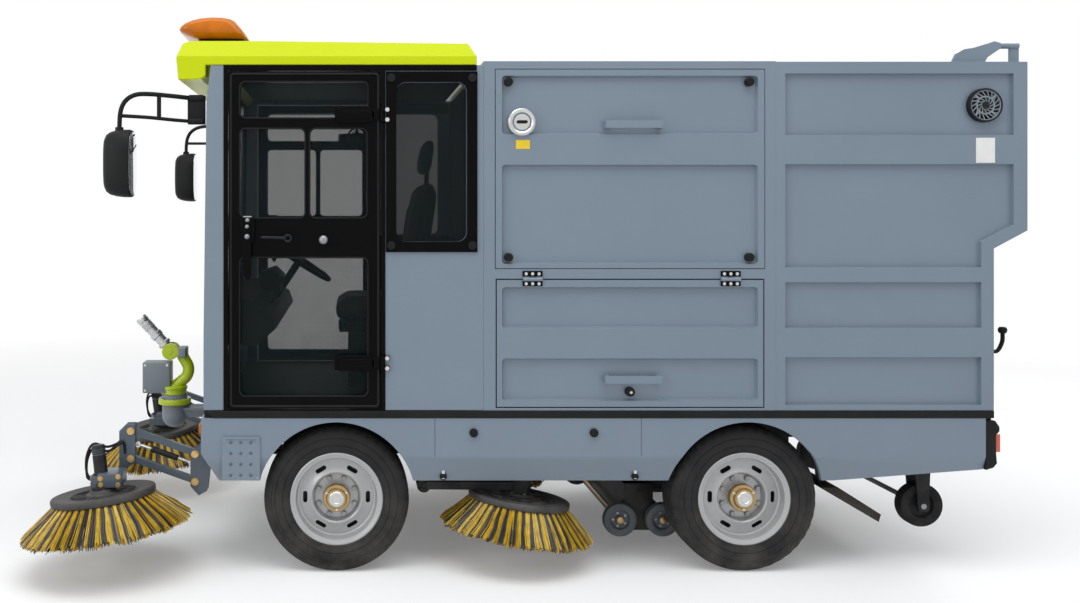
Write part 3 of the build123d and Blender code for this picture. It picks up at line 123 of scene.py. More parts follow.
def paintFloor(tree):
    # The paper fades to plain white away from the machine and keeps its shadow close by
    shader = tree.nodes["Principled BSDF"]
    shader.inputs["Base Color"].default_value = studio["paper"]
    shader.inputs["Roughness"].default_value = studio["paperRoughness"]
    place = addNode(tree, "ShaderNodeTexCoord")
    reach = addNode(tree, "ShaderNodeVectorMath", operation="LENGTH")
    fade = addNode(tree, "ShaderNodeMapRange", **{"From Min": studio["fadeNear"],
                                                  "From Max": studio["fadeFar"]})
    plain = addNode(tree, "ShaderNodeEmission", Color=studio["white"], Strength=1.0)
    glow = addNode(tree, "ShaderNodeEmission", Color=studio["white"])
    both = addNode(tree, "ShaderNodeAddShader")
    mix = addNode(tree, "ShaderNodeMixShader")
    seen = seenDirectly(tree)
    join(tree, (place.outputs["Object"], reach.inputs[0]), (reach.outputs["Value"], fade.inputs["Value"]),
         (calc(tree, "MULTIPLY", seen, studio["paperGlow"]), glow.inputs["Strength"]),
         (shader.outputs[0], both.inputs[0]), (glow.outputs[0], both.inputs[1]),
         (both.outputs[0], mix.inputs[1]), (plain.outputs[0], mix.inputs[2]),
         (calc(tree, "MULTIPLY", seen, fade.outputs[0]), mix.inputs[0]),
         (mix.outputs[0], tree.nodes["Material Output"].inputs["Surface"]))


makeWorld()
addSoftLight("overheadLight", (0.3, 2.6, 6.2), (0, 0.2, 0.8), (7.0, 3.5), 210)
addSoftLight("frontLight", (5.5, 4.0, 3.2), (0.8, 0.3, 0.9), (3.0, 3.0), 80)
addSoftLight("rearLight", (-5.5, -3.5, 4.2), (-0.8, -0.2, 0.9), (4.0, 3.0), 110)

wide = studio["paperHalf"]
floorMesh = bpy.data.meshes.new("studioFloor")
floorMesh.from_pydata([(-wide, -wide, 0), (wide, -wide, 0), (wide, wide, 0), (-wide, wide, 0)], [],
                      [(0, 1, 2, 3)])
floorPiece = bpy.data.objects.new("studioFloor", floorMesh)
bpy.context.collection.objects.link(floorPiece)
floorMaterial = bpy.data.materials.new("palePaper")
floorMaterial.use_nodes = True
paintFloor(floorMaterial.node_tree)
floorMesh.materials.append(floorMaterial)
print("camera, light and floor set")


# Effects shared by the materials
def newGroup(name, inputs, outputs):
    group = bpy.data.node_groups.new(name, "ShaderNodeTree")
    for label, kind, value in inputs:
        socket = group.interface.new_socket(name=label, in_out="INPUT", socket_type=kind)
        socket.default_value = value
    for label, kind in outputs:
        group.interface.new_socket(name=label, in_out="OUTPUT", socket_type=kind)
    return group, group.nodes.new("NodeGroupInput"), group.nodes.new("NodeGroupOutput")


def addNoise(group, scale, detail, roughness):
    place = addNode(group, "ShaderNodeTexCoord")
    noise = addNode(group, "ShaderNodeTexNoise", Detail=detail, Roughness=roughness)
    join(group, (place.outputs["Object"], noise.inputs["Vector"]), (scale, noise.inputs["Scale"]))
    return noise.outputs["Fac"]


def makeMottle():
    # Slow drift of tone over a large painted or moulded surface
    group, given, result = newGroup(
        "mottle", [("Colour", "NodeSocketColor", (0.5, 0.5, 0.5, 1)), ("Amount", "NodeSocketFloat", 0.1),
                   ("Scale", "NodeSocketFloat", 2.0)], [("Colour", "NodeSocketColor")])
    value = given.outputs
    spread = addNode(group, "ShaderNodeMapRange", **{"From Min": 0.25, "From Max": 0.75})
    tone = addNode(group, "ShaderNodeVectorMath", operation="SCALE")
    join(group, (addNoise(group, value["Scale"], 5.0, 0.55), spread.inputs["Value"]),
         (calc(group, "SUBTRACT", 1.0, value["Amount"]), spread.inputs["To Min"]),
         (calc(group, "ADD", 1.0, value["Amount"]), spread.inputs["To Max"]),
         (value["Colour"], tone.inputs[0]), (spread.outputs[0], tone.inputs["Scale"]),
         (tone.outputs[0], result.inputs["Colour"]))
    return group


def makeRoadDust():
    # Pale dust that thins out with height above the road
    group, given, result = newGroup(
        "roadDust", [("Amount", "NodeSocketFloat", 0.4), ("Top", "NodeSocketFloat", 0.9),
                     ("Scale", "NodeSocketFloat", 9.0)], [("Mask", "NodeSocketFloat")])
    value = given.outputs
    place = addNode(group, "ShaderNodeTexCoord")
    split = addNode(group, "ShaderNodeSeparateXYZ")
    fall = addNode(group, "ShaderNodeMapRange", **{"To Min": 1.0, "To Max": 0.0})
    ramp = addNode(group, "ShaderNodeMapRange", **{"From Min": 0.38, "From Max": 0.72})
    join(group, (place.outputs["Object"], split.inputs[0]), (split.outputs["Z"], fall.inputs["Value"]),
         (value["Top"], fall.inputs["From Max"]), (addNoise(group, value["Scale"], 8.0, 0.65),
                                                   ramp.inputs["Value"]))
    mask = calc(group, "MULTIPLY", calc(group, "MULTIPLY", fall.outputs[0], ramp.outputs[0]), value["Amount"])
    join(group, (mask, result.inputs["Mask"]))
    return group


def makeFineGrain():
    # Small even relief: orange peel on paint, leather-like grain on plastic
    group, given, result = newGroup(
        "fineGrain", [("Scale", "NodeSocketFloat", 400.0), ("Depth", "NodeSocketFloat", 1.0)],
        [("Height", "NodeSocketFloat"), ("Tone", "NodeSocketFloat")])
    grain = addNoise(group, given.outputs["Scale"], 2.0, 0.5)
    join(group, (calc(group, "MULTIPLY", grain, given.outputs["Depth"]), result.inputs["Height"]),
         (grain, result.inputs["Tone"]))
    return group


effects = {"mottle": makeMottle(), "roadDust": makeRoadDust(), "fineGrain": makeFineGrain()}
dustColour = (0.3, 0.27, 0.23, 1)
coatRoughness = 0.08
glassSpecular = 0.14


def startMaterial(name):
    material = bpy.data.materials.new(name)
    material.use_nodes = True
    return material, material.node_tree, material.node_tree.nodes["Principled BSDF"].inputs


def useEffect(tree, effect, **values):
    return addNode(tree, "ShaderNodeGroup", node_tree=effects[effect], **values).outputs


def makeSurface(name, colour, roughness, metallic=0.0, coat=0.0, tone=0.06, toneScale=2.0, dust=0.25,
                dustTop=0.9, grainScale=500.0, grainDepth=0.2, bump=0.08, specular=0.5, spread=0.08):
    material, tree, shader = startMaterial(name)
    shader["Metallic"].default_value = metallic
    shader["Coat Weight"].default_value = coat
    shader["Coat Roughness"].default_value = coatRoughness
    shader["Specular IOR Level"].default_value = specular
    tint = useEffect(tree, "mottle", Colour=(*colour, 1), Amount=tone, Scale=toneScale)
    dirt = useEffect(tree, "roadDust", Amount=dust, Top=dustTop)
    grain = useEffect(tree, "fineGrain", Scale=grainScale, Depth=grainDepth)
    mixed = addNode(tree, "ShaderNodeMix", data_type="RGBA", B=dustColour)
    rough = addNode(tree, "ShaderNodeMapRange", **{"To Min": roughness - spread,
                                                   "To Max": roughness + spread})
    dusty = addNode(tree, "ShaderNodeMath", operation="MULTIPLY_ADD", use_clamp=True)
    dusty.inputs[1].default_value = 0.5
    relief = addNode(tree, "ShaderNodeBump", Strength=bump, Distance=0.001)
    join(tree, (tint["Colour"], mixed.inputs["A"]), (dirt["Mask"], mixed.inputs["Factor"]),
         (mixed.outputs["Result"], shader["Base Color"]), (grain["Tone"], rough.inputs["Value"]),
         (dirt["Mask"], dusty.inputs[0]), (rough.outputs[0], dusty.inputs[2]),
         (dusty.outputs[0], shader["Roughness"]), (grain["Height"], relief.inputs["Height"]),
         (relief.outputs[0], shader["Normal"]))
    return material


def makeGlass(name, colour, alpha, roughness=0.02, dust=0.1, dustTop=1.6):
    # Thin safety glass: see-through, tinted and a little dusty low down
    material, tree, shader = startMaterial(name)
    shader["Roughness"].default_value = roughness
    shader["Specular IOR Level"].default_value = glassSpecular
    tint = useEffect(tree, "mottle", Colour=(*colour, 1), Amount=0.05)
    dirt = useEffect(tree, "roadDust", Amount=dust, Top=dustTop)
    solid = addNode(tree, "ShaderNodeMath", operation="ADD", use_clamp=True)
    solid.inputs[1].default_value = alpha
    join(tree, (tint["Colour"], shader["Base Color"]), (dirt["Mask"], solid.inputs[0]),
         (solid.outputs[0], shader["Alpha"]))
    return material


# colour, roughness, and what departs from makeSurface
looks = {
    "bodyPaint": ((0.172, 0.222, 0.278), 0.36, dict(coat=0.25, tone=0.05, dust=0.18, dustTop=0.8,
        grainScale=260, grainDepth=0.6, bump=0.05)),
    "framePaint": ((0.01, 0.011, 0.012), 0.42, dict(tone=0.15, dust=0.22, bump=0.08, specular=0.18)),
    "doorPaint": ((0.002, 0.0021, 0.0024), 0.2, dict(tone=0.1, dust=0.02, bump=0.03, specular=0.06)),
    "trimPlastic": ((0.008, 0.0085, 0.009), 0.5, dict(tone=0.1, dust=0.1, grainScale=1400, grainDepth=1.0,
        bump=0.25, specular=0.16)),
    "roofGelcoat": ((0.53, 0.62, 0.003), 0.26, dict(coat=0.06, tone=0.03, dust=0.0, bump=0.03,
        specular=0.16)),
    "rimPaint": ((0.43, 0.435, 0.44), 0.32, dict(metallic=0.35, tone=0.04, dust=0.22, dustTop=0.6,
        bump=0.05)),
    "linkPaint": ((0.062, 0.088, 0.118), 0.36, dict(coat=0.2, tone=0.1, toneScale=6, dust=0.22, dustTop=0.7,
        grainScale=260, grainDepth=0.6, bump=0.06)),
    "motorPaint": ((0.009, 0.01, 0.012), 0.38, dict(tone=0.12, toneScale=9, dust=0.18, bump=0.08,
        specular=0.22)),
    "brassBolt": ((0.62, 0.42, 0.17), 0.3, dict(metallic=0.95, tone=0.1, toneScale=30, dust=0.12)),
    "seatVinyl": ((0.022, 0.024, 0.027), 0.48, dict(tone=0.1, toneScale=5, dust=0.0, grainScale=700,
        grainDepth=1.0, bump=0.35)),
    "bladeRubber": ((0.04, 0.03, 0.024), 0.72, dict(tone=0.25, toneScale=7, dust=0.35, grainScale=500)),
    "hubBrass": ((0.42, 0.29, 0.13), 0.34, dict(metallic=0.9, tone=0.15, toneScale=18, dust=0.2,
        dustTop=0.6)),
    "brightSteel": ((0.6, 0.6, 0.59), 0.28, dict(metallic=1.0, tone=0.08, dust=0.08)),
    "dullSteel": ((0.28, 0.29, 0.3), 0.45, dict(metallic=0.9, tone=0.15, toneScale=12, dust=0.2)),
    "tyreRubber": ((0.012, 0.012, 0.013), 0.62, dict(tone=0.12, toneScale=6, dust=0.22, dustTop=0.62,
        grainScale=900, grainDepth=1.0, bump=0.2, specular=0.25)),
    "blackRubber": ((0.009, 0.009, 0.01), 0.7, dict(tone=0.15, dust=0.18, grainScale=700, bump=0.2,
        specular=0.2)),
    "rollerRubber": ((0.06, 0.075, 0.09), 0.55, dict(tone=0.15, toneScale=14, dust=0.35, dustTop=0.6)),
    "bristleYellow": ((0.66, 0.43, 0.02), 0.45, dict(tone=0.3, toneScale=26, dust=0.22, dustTop=0.45,
        bump=0.0)),
    "bristleDark": ((0.05, 0.054, 0.066), 0.5, dict(tone=0.35, toneScale=26, dust=0.25, dustTop=0.45,
        bump=0.0)),
    "discPlastic": ((0.03, 0.031, 0.033), 0.6, dict(tone=0.2, toneScale=10, dust=0.5, dustTop=0.6)),
    "amberLens": ((0.52, 0.135, 0.001), 0.14, dict(coat=0.1, tone=0.22, toneScale=14, dust=0.0,
        grainScale=60, grainDepth=1.0, bump=0.1, specular=0.22)),
    "redLens": ((0.7, 0.1, 0.02), 0.15, dict(coat=0.6, tone=0.1, toneScale=20, dust=0.1)),
    "clearLens": ((0.75, 0.78, 0.8), 0.08, dict(metallic=0.6, coat=0.8, tone=0.1, toneScale=30, dust=0.05)),
    "darkLens": ((0.05, 0.055, 0.06), 0.1, dict(coat=0.8, tone=0.1, dust=0.0)),
    "monitorPaint": ((0.46, 0.58, 0.006), 0.28, dict(coat=0.1, tone=0.06, toneScale=8, dust=0.1)),
    "monitorAlloy": ((0.56, 0.57, 0.58), 0.35, dict(metallic=0.85, tone=0.08, toneScale=20, dust=0.05)),
    "monitorHousing": ((0.19, 0.22, 0.25), 0.45, dict(tone=0.06, dust=0.1)),
    "batteryCase": ((0.03, 0.03, 0.033), 0.5, dict(tone=0.1, dust=0.1, grainScale=900)),
    "dashPlastic": ((0.012, 0.013, 0.014), 0.55, dict(tone=0.08, dust=0.0, grainScale=1100, grainDepth=1.0,
        bump=0.2, specular=0.2)),
    "plateYellow": ((0.8, 0.56, 0.02), 0.35, dict(tone=0.05, toneScale=30, dust=0.05)),
    "plateWhite": ((0.78, 0.78, 0.76), 0.35, dict(tone=0.04, toneScale=30, dust=0.05)),
    "mirrorGlass": ((0.8, 0.82, 0.84), 0.04, dict(metallic=1.0, tone=0.02, dust=0.03, spread=0.02)),
}
finish = {name: makeSurface(name, colour, roughness, **more)
          for name, (colour, roughness, more) in looks.items()}
finish.update({
    "windowGlass": makeGlass("windowGlass", (0.004, 0.01, 0.011), 0.38),
    "quarterGlass": makeGlass("quarterGlass", (0.003, 0.007, 0.008), 0.56),
})
print("materials made:", len(finish))

nodeObjects = frame["nodes"]
bodyOf = {node: body for body, nodes in frame["record"]["behaviour"]["bodies"].items() for node in nodes}


def finishPiece(piece, body, material=None, smooth=35):
    if material:
        piece.data.materials.clear()
        piece.data.materials.append(finish[material])
    if smooth:
        piece.data.shade_smooth()
        piece.data.set_sharp_from_angle(angle=math.radians(smooth))
    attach(piece, body)
    return piece


def newPiece(name, mesh):
    piece = bpy.data.objects.new(name, mesh)
    bpy.context.collection.objects.link(piece)
    return piece


def meshFrom(name, build):
    work = bmesh.new()
    build(work)
    bmesh.ops.recalc_face_normals(work, faces=work.faces)
    mesh = bpy.data.meshes.new(name)
    work.to_mesh(mesh)
    work.free()
    return mesh


def bakeModifiers(piece):
    graph = bpy.context.evaluated_depsgraph_get()
    graph.update()
    mesh = bpy.data.meshes.new_from_object(piece.evaluated_get(graph), preserve_all_data_layers=True,
                                           depsgraph=graph)
    piece.modifiers.clear()
    piece.data = mesh
    return piece


def bevelPiece(piece, width, segments=3, angle=30):
    bevel = piece.modifiers.new("edge", "BEVEL")
    bevel.width = width
    bevel.segments = segments
    bevel.limit_method = "ANGLE"
    bevel.angle_limit = math.radians(angle)
    return bakeModifiers(piece)


# Angles in degrees, weld in metres
panelEdge = {"weld": 0.00002, "flatBelow": 0.6, "bevelAbove": 28, "sharpAbove": 40}


def softenNode(node, material, width=0.0025, segments=2, merge=True):
    # A CAD panel with its sheet-metal edges rounded off
    source = nodeObjects[node]
    work = bmesh.new()
    work.from_mesh(source.data)
    bmesh.ops.remove_doubles(work, verts=work.verts, dist=panelEdge["weld"])
    if merge:
        bmesh.ops.dissolve_limit(work, angle_limit=math.radians(panelEdge["flatBelow"]), verts=work.verts,
                                 edges=work.edges)
    mesh = bpy.data.meshes.new(node + "Shape")
    work.to_mesh(mesh)
    work.free()
    piece = newPiece(node + "_soft", mesh)
    bevelPiece(piece, width, segments, panelEdge["bevelAbove"])
    # Flat panels keep flat shading beside their rounded edges
    piece.data.shade_smooth()
    piece.data.set_sharp_from_angle(angle=math.radians(panelEdge["sharpAbove"]))
    weighted = piece.modifiers.new("shading", "WEIGHTED_NORMAL")
    weighted.keep_sharp = True
    bakeModifiers(piece)
    finishPiece(piece, bodyOf[node], material, smooth=0)
    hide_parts(node)
    return piece


def paintNode(node, material):
    source = nodeObjects[node]
    for slotItem in source.material_slots:
        slotItem.material = finish[material]


def addBox(work, low, high):
    corners = [Vector((x, y, z)) for x in (low[0], high[0]) for y in (low[1], high[1])
               for z in (low[2], high[2])]
    verts = [work.verts.new(corner) for corner in corners]
    for face in ((0, 1, 3, 2), (4, 6, 7, 5), (0, 4, 5, 1), (2, 3, 7, 6), (0, 2, 6, 4), (1, 5, 7, 3)):
        work.faces.new([verts[index] for index in face])


def addTurned(work, profile, centre, axis=(0, 1, 0), steps=48):
    # Profile of (radius, along) points spun about an axis through the centre
    along = Vector(axis).normalized()
    side = along.orthogonal().normalized()
    up = along.cross(side)
    rings = []
    for radius, shift in profile:
        if radius < 1e-6:
            rings.append([work.verts.new(Vector(centre) + along * shift)])
            continue
        rings.append([work.verts.new(Vector(centre) + along * shift
                                     + side * (radius * math.cos(2 * math.pi * step / steps))
                                     + up * (radius * math.sin(2 * math.pi * step / steps)))
                      for step in range(steps)])
    for ringA, ringB in zip(rings, rings[1:]):
        for step in range(steps):
            after = (step + 1) % steps
            if len(ringA) == 1 and len(ringB) == 1:
                continue
            if len(ringA) == 1:
                work.faces.new((ringA[0], ringB[step], ringB[after]))
            elif len(ringB) == 1:
                work.faces.new((ringA[step], ringA[after], ringB[0]))
            else:
                work.faces.new((ringA[step], ringA[after], ringB[after], ringB[step]))


def addOutline(work, points, low, high):
    # Outline in X and Z carried across Y
    near = [work.verts.new((x, low, z)) for x, z in points]
    far = [work.verts.new((x, high, z)) for x, z in points]
    work.faces.new(near)
    work.faces.new(list(reversed(far)))
    for index in range(len(points)):
        after = (index + 1) % len(points)
        work.faces.new((near[index], near[after], far[after], far[index]))


def addPipe(work, points, radius, steps=16, closed=False):
    # Round bar through a list of points, with even rings
    ways = []
    count = len(points)
    for index in range(count):
        before = points[index - 1] if index or closed else points[index]
        after = points[(index + 1) % count] if index < count - 1 or closed else points[index]
        ways.append((Vector(after) - Vector(before)).normalized())
    side = ways[0].orthogonal().normalized()
    rings = []
    for index, way in enumerate(ways):
        side = (side - way * side.dot(way)).normalized()
        up = way.cross(side)
        rings.append([work.verts.new(Vector(points[index]) + side
                                     * (radius * math.cos(2 * math.pi * step / steps))
                                     + up * (radius * math.sin(2 * math.pi * step / steps)))
                      for step in range(steps)])
    pairs = list(zip(rings, rings[1:])) + ([(rings[-1], rings[0])] if closed else [])
    for ringA, ringB in pairs:
        for step in range(steps):
            after = (step + 1) % steps
            work.faces.new((ringA[step], ringA[after], ringB[after], ringB[step]))
    if not closed:
        work.faces.new(list(reversed(rings[0])))
        work.faces.new(rings[-1])


def makePiece(name, build, body, material, smooth, bevel=None):
    piece = newPiece(name, meshFrom(name, build))
    if bevel:
        bevelPiece(piece, *bevel)
    return finishPiece(piece, body, material, smooth)


def smoothPath(points, count):
    # Points on a smooth line through the given ones
    spline = []
    padded = [points[0]] + list(points) + [points[-1]]
    for index in range(1, len(padded) - 2):
        a, b, c, d = (Vector(padded[index + shift]) for shift in (-1, 0, 1, 2))
        for step in range(count):
            t = step / count
            spline.append(0.5 * (2 * b + (c - a) * t + (2 * a - 5 * b + 4 * c - d) * t * t
                                 + (3 * b - a - 3 * c + d) * t * t * t))
    spline.append(Vector(points[-1]))
    return spline


sides = (1, -1)
tags = {1: "left", -1: "right"}

# Painted and moulded panels that keep their CAD shape
for node in ("mid_body", "upper_panels", "hopper", "tailgate", "skirts", "locker_door_left",
             "locker_door_right"):
    softenNode(node, "bodyPaint")
softenNode("cab_shell", "bodyPaint", merge=False)
for node in ("door_left", "door_right", "quarter_frames"):
    softenNode(node, "doorPaint", width=0.002)
softenNode("roof_cap", "roofGelcoat", width=0.012, segments=4)
softenNode("sill_and_bumper", "trimPlastic", width=0.004)
for node in ("ladder_frame", "front_axle", "rear_axle", "knuckle_left", "knuckle_right", "deck",
             "mid_arm_left", "mid_arm_right", "suction_nozzle", "seat_base"):
    softenNode(node, "framePaint", width=0.0015)
for node in ("front_beam", "carrier_left", "carrier_right", "lower_link_left", "lower_link_right",
             "upper_link_left", "upper_link_right"):
    softenNode(node, "linkPaint", width=0.003, segments=3)
softenNode("tie_rod", "dullSteel", width=0.001)
softenNode("dashboard", "dashPlastic", width=0.006, segments=3)
softenNode("battery_block", "batteryCase", width=0.006)
softenNode("fixing_knobs", "trimPlastic", width=0.003)
softenNode("monitor_base", "monitorHousing", width=0.002)
softenNode("monitor_yoke", "monitorPaint", width=0.003)
softenNode("monitor_barrel", "monitorAlloy", width=0.002)
paintNode("door_glass_left", "windowGlass")
paintNode("door_glass_right", "windowGlass")
paintNode("cab_glass", "quarterGlass")
print("panels done")

# Tyres with ribs on the sidewall and blocks on the tread
tyre = {"radius": 0.309, "bead": 0.178, "half": 0.0875, "steps": 120, "groove": 0.007, "lug": 3}
wheels = [("front_left", 0.788, 1), ("front_right", 0.788, -1), ("rear_left", -0.942, 1),
          ("rear_right", -0.942, -1)]
wheelY = 0.6075
axleZ = 0.309


def tyreProfile():
    half, outer = tyre["half"], tyre["radius"]
    wall = [(tyre["bead"], half - 0.019), (0.1905, half - 0.0185), (0.1965, half - 0.012),
            (0.203, half - 0.0085), (0.2045, half - 0.0095), (0.215, half - 0.0045), (0.226, half - 0.0018),
            (0.2275, half - 0.0035), (0.2295, half - 0.0035), (0.231, half - 0.0008), (0.245, half - 0.0002),
            (0.2575, half - 0.0006), (0.259, half - 0.0028), (0.2615, half - 0.0028), (0.263, half - 0.001),
            (0.276, half - 0.005), (0.2775, half - 0.0035), (0.286, half - 0.0065), (0.297, half - 0.0135)]
    shoulder = [(outer - 0.004, half - 0.02), (outer - 0.0008, half - 0.029)]
    tread = []
    for centre in (0.038, 0.014):
        tread += [(outer, centre + 0.0045), (outer - tyre["groove"], centre + 0.003),
                  (outer - tyre["groove"], centre - 0.003), (outer, centre - 0.0045)]
    right = wall + shoulder + tread
    return right + [(radius, -across) for radius, across in reversed(right)]


def buildTyre(work, centre):
    profile = tyreProfile()
    steps = tyre["steps"]
    rings = []
    for step in range(steps):
        angle = 2 * math.pi * step / steps
        ring = []
        for radius, across in profile:
            size = radius
            shoulderBlock = 0.016 < abs(across) - 0.045 < 0.03 and radius > 0.29
            if (shoulderBlock or (radius > 0.3085 and abs(across) > 0.04)) and step % tyre["lug"] == 0:
                size = radius - tyre["groove"]
            if radius > 0.3085 and abs(across) < 0.04 and step % (tyre["lug"] * 2) == (0 if across > 0
                                                                                       else 3):
                size = radius - tyre["groove"] * 0.6
            ring.append(work.verts.new((centre[0] + size * math.cos(angle), centre[1] + across,
                                        centre[2] + size * math.sin(angle))))
        rings.append(ring)
    count = len(profile)
    for step in range(steps):
        after = rings[(step + 1) % steps]
        for index in range(count):
            nextIndex = (index + 1) % count
            work.faces.new((rings[step][index], rings[step][nextIndex], after[nextIndex], after[index]))


for tag, wheelX, side in wheels:
    centre = (wheelX, side * wheelY, axleZ)
    mesh = meshFrom("tyreMesh_" + tag, lambda work: buildTyre(work, centre))
    piece = finishPiece(newPiece("roadTyre_" + tag, mesh), "wheel_" + tag, "tyreRubber",
                        smooth=30)
    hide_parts("tyre_" + tag)

# Pressed steel rims, slotted, with the hub in the middle
rim = {"slots": 6, "slotRadius": 0.134, "slotLong": 0.05, "slotWide": 0.019, "nuts": 8,
       "nutCircle": 0.082}


def buildRim(work, centre, side):
    profile = [(0.178, -0.069), (0.196, -0.07), (0.1962, -0.0755), (0.19, -0.076), (0.172, -0.07),
               (0.171, -0.05), (0.171, 0.02), (0.162, 0.026), (0.15, 0.03), (0.118, 0.037), (0.109, 0.04),
               (0.104, 0.024), (0.098, 0.012), (0.06, 0.012), (0.057, -0.03), (0.0205, -0.03),
               (0.0205, 0.036), (0.056, 0.036), (0.058, 0.018), (0.092, 0.018), (0.097, 0.024),
               (0.101, 0.046), (0.107, 0.0505), (0.114, 0.048), (0.12, 0.0425), (0.15, 0.036), (0.16, 0.034),
               (0.166, 0.037), (0.1685, 0.048), (0.17, 0.062), (0.174, 0.07), (0.181, 0.0715),
               (0.186, 0.0755), (0.192, 0.0775), (0.1962, 0.0755), (0.196, 0.07), (0.178, 0.069)]
    addTurned(work, profile + [profile[0]], centre, (0, side, 0), 96)
    bmesh.ops.remove_doubles(work, verts=work.verts, dist=0.00001)


def cutSlots(piece, centre, side):
    def build(work):
        for index in range(rim["slots"]):
            angle = 2 * math.pi * index / rim["slots"]
            across = (math.cos(angle), math.sin(angle))
            along = (-math.sin(angle), math.cos(angle))
            outline = []
            for end in (1, -1):
                for step in range(9):
                    turn = math.pi * (step / 8 - 0.5)
                    far = end * (rim["slotLong"] / 2 - rim["slotWide"] / 2
                                 + math.cos(turn) * rim["slotWide"] / 2)
                    wide = end * math.sin(turn) * rim["slotWide"] / 2
                    radius = rim["slotRadius"] + wide
                    outline.append((centre[0] + radius * across[0] + far * along[0],
                                    centre[2] + radius * across[1] + far * along[1]))
            addOutline(work, outline, centre[1] + min(side * 0.0, side * 0.09),
                       centre[1] + max(0, side * 0.09))
    cutter = newPiece("slotCutter", meshFrom("slotCutter", build))
    cut = piece.modifiers.new("slots", "BOOLEAN")
    cut.object = cutter
    cut.operation = "DIFFERENCE"
    cut.solver = "EXACT"
    bakeModifiers(piece)
    bpy.data.objects.remove(cutter)


for tag, wheelX, side in wheels:
    centre = (wheelX, side * wheelY, axleZ)
    piece = newPiece("steelRim_" + tag, meshFrom("rimMesh_" + tag, lambda work: buildRim(work, centre, side)))
    cutSlots(piece, centre, side)
    finishPiece(piece, "wheel_" + tag, "rimPaint", smooth=32)
    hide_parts("rim_" + tag)
    # Dark disc just behind the slots: painted shadow, so the slots show shade instead of the floor beyond the
    # wheel
    shade = newPiece("slotShadowDisc_" + tag, meshFrom("slotShadowDisc_" + tag, lambda work: addTurned(
        work, [(0.108, 0.004), (0.168, 0.004), (0.168, 0.007), (0.108, 0.007), (0.108, 0.004)], centre,
        (0, side, 0), 64)))
    finishPiece(shade, "wheel_" + tag, "framePaint", smooth=35)

    def buildHub(work):
        addTurned(work, [(0.0, 0.037), (0.058, 0.037), (0.0585, 0.06), (0.056, 0.064), (0.045, 0.066),
                         (0.0425, 0.07), (0.04, 0.078), (0.0365, 0.08), (0.0, 0.08)], centre, (0, side, 0),
                  40)
    finishPiece(newPiece("brassHub_" + tag, meshFrom("hubMesh_" + tag, buildHub)), "wheel_" + tag, "hubBrass",
                smooth=35)

    def buildCentre(work):
        addTurned(work, [(0.0, 0.079), (0.033, 0.079), (0.033, 0.083), (0.03, 0.0855), (0.018, 0.086),
                         (0.016, 0.084), (0.0, 0.084)], centre, (0, side, 0), 32)
        for index in range(3):
            angle = 2 * math.pi * index / 3 + 0.5
            spot = (centre[0] + 0.048 * math.cos(angle), centre[1], centre[2] + 0.048 * math.sin(angle))
            addTurned(work, [(0.0, 0.064), (0.0055, 0.064), (0.0055, 0.0685), (0.0, 0.0685)], spot,
                      (0, side, 0), 6)
    finishPiece(newPiece("hubCentre_" + tag, meshFrom("hubCentreMesh_" + tag, buildCentre)), "wheel_" + tag,
                "brightSteel", smooth=35)
print("wheels done")


# Geometry Nodes that set nuts and bolt heads wherever a spot is given
def nodeTree(name, inputs):
    tree = bpy.data.node_groups.new(name, "GeometryNodeTree")
    tree.is_modifier = True
    for label, kind, value in inputs:
        socket = tree.interface.new_socket(name=label, in_out="INPUT", socket_type=kind)
        if value is not None:
            socket.default_value = value
    tree.interface.new_socket(name="Geometry", in_out="OUTPUT", socket_type="NodeSocketGeometry")
    return tree, tree.nodes.new("NodeGroupInput"), tree.nodes.new("NodeGroupOutput")


def makeNutTree():
    # A nut with a washer on each small triangle of the carrying mesh, turned along its normal
    tree, given, result = nodeTree("nutsOnPoints", [
        ("Geometry", "NodeSocketGeometry", None), ("Nut Radius", "NodeSocketFloat", 0.008),
        ("Nut Height", "NodeSocketFloat", 0.006),
        ("Washer Radius", "NodeSocketFloat", 0.011), ("Corners", "NodeSocketInt", 6),
        ("Material", "NodeSocketMaterial", None)])
    nut = addNode(tree, "GeometryNodeMeshCylinder")
    washer = addNode(tree, "GeometryNodeMeshCylinder", Vertices=16, Depth=0.0024)
    lift = addNode(tree, "ShaderNodeCombineXYZ")
    moved = addNode(tree, "GeometryNodeTransform")
    both = addNode(tree, "GeometryNodeJoinGeometry")
    normal = addNode(tree, "GeometryNodeInputNormal")
    turn = addNode(tree, "FunctionNodeAlignRotationToVector")
    turn.axis = "Z"
    spots = addNode(tree, "GeometryNodeInstanceOnPoints")
    real = addNode(tree, "GeometryNodeRealizeInstances")
    paint = addNode(tree, "GeometryNodeSetMaterial")
    # One nut a triangle: only every third point carries one
    third = calc(tree, "MODULO", addNode(tree, "GeometryNodeInputIndex").outputs[0], 3)
    join(tree, (calc(tree, "LESS_THAN", third, 0.5), spots.inputs["Selection"]))
    join(tree, (given.outputs["Corners"], nut.inputs["Vertices"]),
         (given.outputs["Nut Radius"], nut.inputs["Radius"]),
         (given.outputs["Nut Height"], nut.inputs["Depth"]),
         (given.outputs["Washer Radius"], washer.inputs["Radius"]),
         (calc(tree, "MULTIPLY", given.outputs["Nut Height"], 0.5), lift.inputs["Z"]),
         (nut.outputs["Mesh"], moved.inputs["Geometry"]), (lift.outputs[0], moved.inputs["Translation"]),
         (moved.outputs[0], both.inputs[0]), (washer.outputs["Mesh"], both.inputs[0]),
         (given.outputs["Geometry"], spots.inputs["Points"]), (both.outputs[0], spots.inputs["Instance"]),
         (normal.outputs[0], turn.inputs["Vector"]), (turn.outputs[0], spots.inputs["Rotation"]),
         (spots.outputs[0], real.inputs[0]), (real.outputs[0], paint.inputs["Geometry"]),
         (given.outputs["Material"], paint.inputs["Material"]), (paint.outputs[0], result.inputs["Geometry"]))
    return tree


